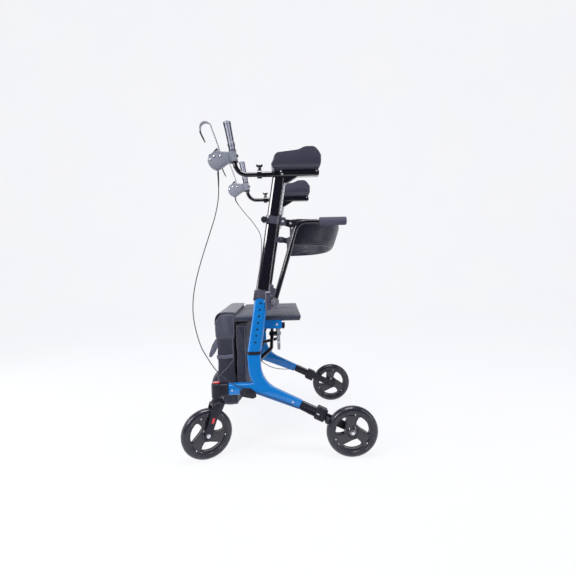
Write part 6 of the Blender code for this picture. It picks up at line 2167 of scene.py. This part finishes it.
@dataclass
class Backrest:
    """Padded band behind the user, bowed between the two hinge plates."""

    inset: float = 0.006
    plate_face: float = 0.0113
    start: float = 0.02
    depth: float = 0.228
    height: float = 0.1
    thickness: float = 0.024
    middle_z: float = 0.856
    lean: float = 0.34
    power: float = 2.6

    def place(self) -> tuple[Matrix, float]:
        """Return the band's frame, midway between the bolts, and the bolts' distance from it.

        Returns:
            The frame and the distance.
        """
        a, b = (Vector((axis_x(side.hinge_z) + HINGE_X, side.out(-self.inset), side.hinge_z))
                for side in Side)
        y = (b - a).normalized()
        x = y.cross(Vector((0, 0, 1))).normalized()
        turn = Matrix((x, y, x.cross(y))).transposed().to_4x4()
        return Matrix.Translation((a + b) / 2) @ turn, (b - a).length / 2

    def rings(self, swell: float = 0.0) -> Array:
        """Return the band as rings.

        The middle line is y = H sin u, x = s + (D - s)(1 - |sin u| ^ n) ^ (1 / n). Each ring is an
        oval: t c ^ 0.8 across and h d ^ 0.5 up, with its upper edge leaning back by cos u.

        Args:
            swell: how far the surface stands off the band's own.

        Returns:
            Points of shape (150, 72, 3).
        """
        frame_turn, reach = self.place()
        half = reach - self.plate_face - SEAT_GAP - self.thickness / 2 * 0.9
        u = np.radians(np.linspace(-89.4, 89.4, 150))

        def bow(angle: Array) -> Array:
            """Return the middle line at an angle."""
            depth = (1 - np.abs(np.sin(angle)) ** self.power) ** (1 / self.power)
            return np.stack([self.start + (self.depth - self.start) * depth, half * np.sin(angle)], axis=-1)

        centre = bow(u)
        last = math.radians(89.6)
        ahead = unit(bow(np.minimum(u + 0.008, last)) - bow(np.maximum(u - 0.008, -last)))
        normal = np.stack([ahead[:, 1], -ahead[:, 0]], axis=-1)
        along = reach_along(centre)[:, None]
        edge = np.minimum(along, along[-1] - along)
        close = rounded_off(edge, 0.012)
        fill = (0.42 + 0.58 * close) * (1.0 - 0.02 * np.exp(-edge / 0.03))
        w = np.linspace(0.0, 2 * np.pi, 72, endpoint=False)[None, :]
        c, d = np.cos(w), np.sin(w)
        across = (self.thickness / 2 + swell) * fill * np.sign(c) * np.abs(c) ** 0.8
        up = (self.height / 2 + swell) * (0.8 + 0.2 * close) * np.sign(d) * np.abs(d) ** 0.5
        crush = smoothstep(0.085, 0.0, edge)
        creases = rumple(along * (1.0 + 0.8 * crush), up * 1.3, 23, 8, 0.75)
        gathered = np.sin((along * 3.2 + up * 0.9) / 0.0085) * smoothstep(0.0, -0.035, up) * crush
        across = across + np.sign(c) * np.abs(c) ** 0.5 * (0.0009 * creases * (1 + 1.3 * crush)
                                                           + 0.0011 * gathered)
        seam_at = -0.03 - 0.01 * np.cos(np.pi * np.clip(edge / 0.16, 0.0, 1.0))
        across = across - np.sign(c) * 0.0016 * np.exp(-((up - seam_at) / 0.0022) ** 2) * (np.abs(c) > 0.15)
        x = centre[:, :1] + normal[:, :1] * across + self.lean * np.cos(u)[:, None] * up
        y = centre[:, 1:] + normal[:, 1:] * across
        m = np.array(frame_turn)
        return np.stack([x, y, self.middle_z - m[2, 3] + up], axis=-1) @ m[:3, :3].T + m[:3, 3]

    def build(self, shop: Workshop) -> None:
        """Make the band, its welts and its stitching, each with its own mesh.

        Args:
            shop: makes the pieces.
        """
        edges, outside = self.rings(0.0004), self.rings(0.0003)
        welts = joined(round_bar(edges[3:-3, column], 0.0013, 8, Z_WAY) for column in (14, 22, 50, 58))
        thread = joined(stitches(outside[6:-6, column], 0.0046) for column in (11, 61, 25, 47))
        band = shop.make("backrest_band", lattice(self.rings()), BAND_COVER, "left_back", "backrest_pad",
                         60.0)
        for piece in (band, shop.make("backrest_welts", welts, PIPING, "left_back", sharp=60.0),
                      shop.make("backrest_thread", thread, THREAD, "left_back", sharp=60.0)):
            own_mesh(piece)


@dataclass
class Studio:
    """Pale floor and backdrop, soft lamps and the camera."""

    lens: float = 22.875
    position: tuple[float, float, float] = (0.0217, -1.6717, 0.737)
    yaw: float = math.radians(1.007)
    pitch: float = math.radians(3.331)
    roll: float = math.radians(-1.445)

    def show(self, name: str, data: Any, place: Matrix) -> bpy.types.Object:
        """Return a new object of the stage, linked at a place.

        Args:
            name: its name.
            data: what it shows.
            place: where it stands.

        Returns:
            The object.
        """
        made = bpy.data.objects.new(name, data)
        made.matrix_world = place
        bpy.context.scene.collection.objects.link(made)
        return made

    def camera(self) -> None:
        """Add the camera: its axes are turned by yaw, pitch and roll from a level view along +Y."""
        level_x, level_y = math.sin(self.yaw), math.cos(self.yaw)
        ahead = Vector((level_x * math.cos(self.pitch), level_y * math.cos(self.pitch),
                        -math.sin(self.pitch)))
        right = Vector((level_y, -level_x, 0.0))
        up = right.cross(ahead)
        level = right * math.cos(self.roll) + up * math.sin(self.roll)
        upright = up * math.cos(self.roll) - right * math.sin(self.roll)
        data = bpy.data.cameras.new("photo_camera")
        data.lens, data.sensor_width, data.clip_start = self.lens, 36.0, 0.05
        turn = Matrix((level, upright, -ahead)).transposed().to_4x4()
        bpy.context.scene.camera = self.show("photo_camera", data, Matrix.Translation(self.position) @ turn)

    def paper(self) -> bpy.types.Material:
        """Return the pale paper: white to the camera, with a share of its own shaded colour.

        Returns:
            The material.
        """
        material, graph = new_material("pale_paper")
        path = graph.node("ShaderNodeLightPath")
        ray = path + path.beside("Is Glossy Ray") + path.beside("Is Transmission Ray")
        tone = graph.mix(graph.noise(1.6, 3.0), (0.8, 0.81, 0.86), (0.86, 0.87, 0.91))
        sockets = {"Base Color": tone, "Roughness": 0.9, "Specular IOR Level": 0.1}
        paper = graph.node("ShaderNodeBsdfPrincipled", None, sockets)
        veil = graph.mix(graph.noise(1.1, 3.0), (0.955, 0.96, 0.995), (0.99, 0.99, 1.0))
        glow = graph.node("ShaderNodeEmission", None, {"Color": veil, "Strength": 1.0})
        graph.end(graph.blend(ray.math("MINIMUM", 1.0) * 0.88, paper, glow))
        return material

    def cyclorama(self) -> None:
        """Add the floor that bends up into the backdrop."""
        line = np.vstack([[(-1.08, 0.0), (0.5, 0.0)], arc((3.4, 1.6), 1.6, -90, 0, 18), [(5.0, 6.0)]])
        across = np.linspace(-7.0, 7.0, 15)
        x, y, z = np.broadcast_arrays(across, line[:, :1], line[:, 1:] - 0.0004)
        shell = lattice(np.stack([x, y, z], axis=-1), wrap=False, capped=False)
        mesh = bpy.data.meshes.new("cyclorama")
        mesh.from_pydata(shell.points.tolist(), [], shell.quads.tolist())
        mesh.shade_smooth()
        mesh.materials.append(self.paper())
        paper = self.show("cyclorama", mesh, Matrix.Identity(4))

    def world(self) -> None:
        """Give the world a soft light, white to camera and transmission rays.

        A glossy ray sees white towards the backdrop and a dark room towards the camera.
        """
        world = bpy.data.worlds.new("studio_air")
        bpy.context.scene.world = world
        world.use_nodes = True
        graph = Graph(world.node_tree)
        seen = graph.node("ShaderNodeLightPath", output="Is Camera Ray")
        mirrored, through = seen.beside("Is Glossy Ray"), seen.beside("Is Transmission Ray")
        way = graph.node("ShaderNodeTexCoord", output="Generated")
        depth = graph.node("ShaderNodeSeparateXYZ", None, {"Vector": way}, "Y")
        room = depth.smooth(0.4, 0.8) * 0.9 + 0.04
        share = (seen + through + mirrored * room).math("MINIMUM", 1.0)
        sky, white = (0.86, 0.9, 1.0, 1.0), (1.0, 1.0, 1.0, 1.0)
        air, dark, bright = (graph.node("ShaderNodeBackground", None, {"Color": colour, "Strength": strength})
                             for colour, strength in ((sky, 0.5), (sky, 0.05), (white, 1.0)))
        graph.end(graph.blend(share, graph.blend(mirrored, air, dark), bright), "ShaderNodeOutputWorld")

    def lamp(self, name: str, place: Colour, size: tuple[float, float], power: float) -> None:
        """Add one softbox that looks at the middle of the object.

        Args:
            name: its name.
            place: where it stands.
            size: its width and height.
            power: its power in watts.
        """
        data = bpy.data.lights.new(name, "AREA")
        data.shape, data.size, data.size_y, data.energy = "RECTANGLE", size[0], size[1], power
        turn = (Vector((0.0, 0.0, 0.7)) - Vector(place)).to_track_quat("-Z", "Y").to_matrix().to_4x4()
        self.show(name, data, Matrix.Translation(place) @ turn)

    def build(self) -> None:
        """Set up the whole stage."""
        self.camera()
        self.cyclorama()
        self.world()
        self.lamp("overhead_softbox", (0.1, -0.6, 3.1), (1.3, 1.1), 52.0)
        self.lamp("left_softbox", (-2.0, -2.0, 2.0), (0.65, 1.4), 50.0)
        self.lamp("left_fill", (-2.4, 0.1, 1.0), (1.6, 2.0), 26.0)
        self.lamp("right_strip", (2.2, -1.1, 1.2), (0.25, 2.0), 17.0)
        bpy.context.scene.view_settings.view_transform = "Standard"


CABLES = {
    Side.LEFT: (
        (-0.2065, 0.0, 1.0976), (-0.206, 0.0005, 1.06), (-0.209, 0.002, 1.0), (-0.223, 0.004, 0.935),
        (-0.245, 0.006, 0.87), (-0.28, 0.008, 0.77), (-0.306, 0.01, 0.68), (-0.318, 0.012, 0.6),
        (-0.314, 0.015, 0.528), (-0.294, 0.019, 0.447), (-0.266, 0.023, 0.393), (-0.236, 0.025, 0.348),
        (-0.199, 0.023, 0.311), (-0.162, 0.02, 0.284), (-0.12, 0.0195, 0.267), (-0.07, 0.0195, 0.248),
        (-0.02, 0.0195, 0.229), (0.03, 0.0195, 0.209), (0.08, 0.0195, 0.186), (0.11, 0.0195, 0.1712)),
    Side.RIGHT: (
        (-0.2065, 0.0, 1.0976), (-0.2, 0.001, 1.078), (-0.163, 0.004, 1.026), (-0.119, 0.007, 0.972),
        (-0.082, 0.009, 0.905), (-0.08, 0.009, 0.82), (-0.092, 0.009, 0.73), (-0.112, 0.01, 0.63),
        (-0.129, 0.012, 0.53), (-0.142, 0.017, 0.44), (-0.145, 0.021, 0.36), (-0.133, 0.022, 0.295),
        (-0.11, 0.021, 0.245), (-0.076, 0.02, 0.215), (-0.038, 0.0195, 0.195), (0.01, 0.0195, 0.185),
        (0.055, 0.0195, 0.183), (0.085, 0.0195, 0.1812), (0.11, 0.0195, 0.1712)),
}


def centre_bolt(shop: Workshop) -> None:
    """Make the bolt of the scissor joint, with its six-sided heads.

    Args:
        shop: makes the pieces.
    """
    low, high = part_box("centre_bolt")
    z, front, back = (low.z + high.z) / 2, low.x + 0.004, high.x - 0.004
    shell = rod(0.0039, back - front, at((front + back) / 2, 0, z, ALONG_X), 0.0002, 20)
    for x in (front - 0.002, back + 0.002):
        shell = shell + rod(0.0074, 0.0034, at(x, 0, z, ALONG_X), 0.0006, 6)
    shop.make("scissor_bolt", shell, ZINC, "brace_a", "centre_bolt", 35.0)


def main() -> None:
    """Build the stage and every sub-assembly."""
    logging.basicConfig(level=logging.INFO, format="%(message)s")
    Studio().build()
    for side in Side:
        shop = Workshop(side)
        BrakeCable(side, CABLES[side]).build(shop)
        for assembly in (SideFrame, SideFittings, Caster, ForearmRest, AssistHandle, SeatHalf):
            assembly(side).build(shop)
    shop = Workshop()
    Brace("brace_a", Side.LEFT, -0.028, (-0.038, -0.01415)).build(shop)
    Brace("brace_b", Side.RIGHT, 0.0, (-0.01385, 0.01)).build(shop)
    centre_bolt(shop)
    Bag().build(shop)
    Backrest().build(shop)


if __name__ == "__main__":
    main()
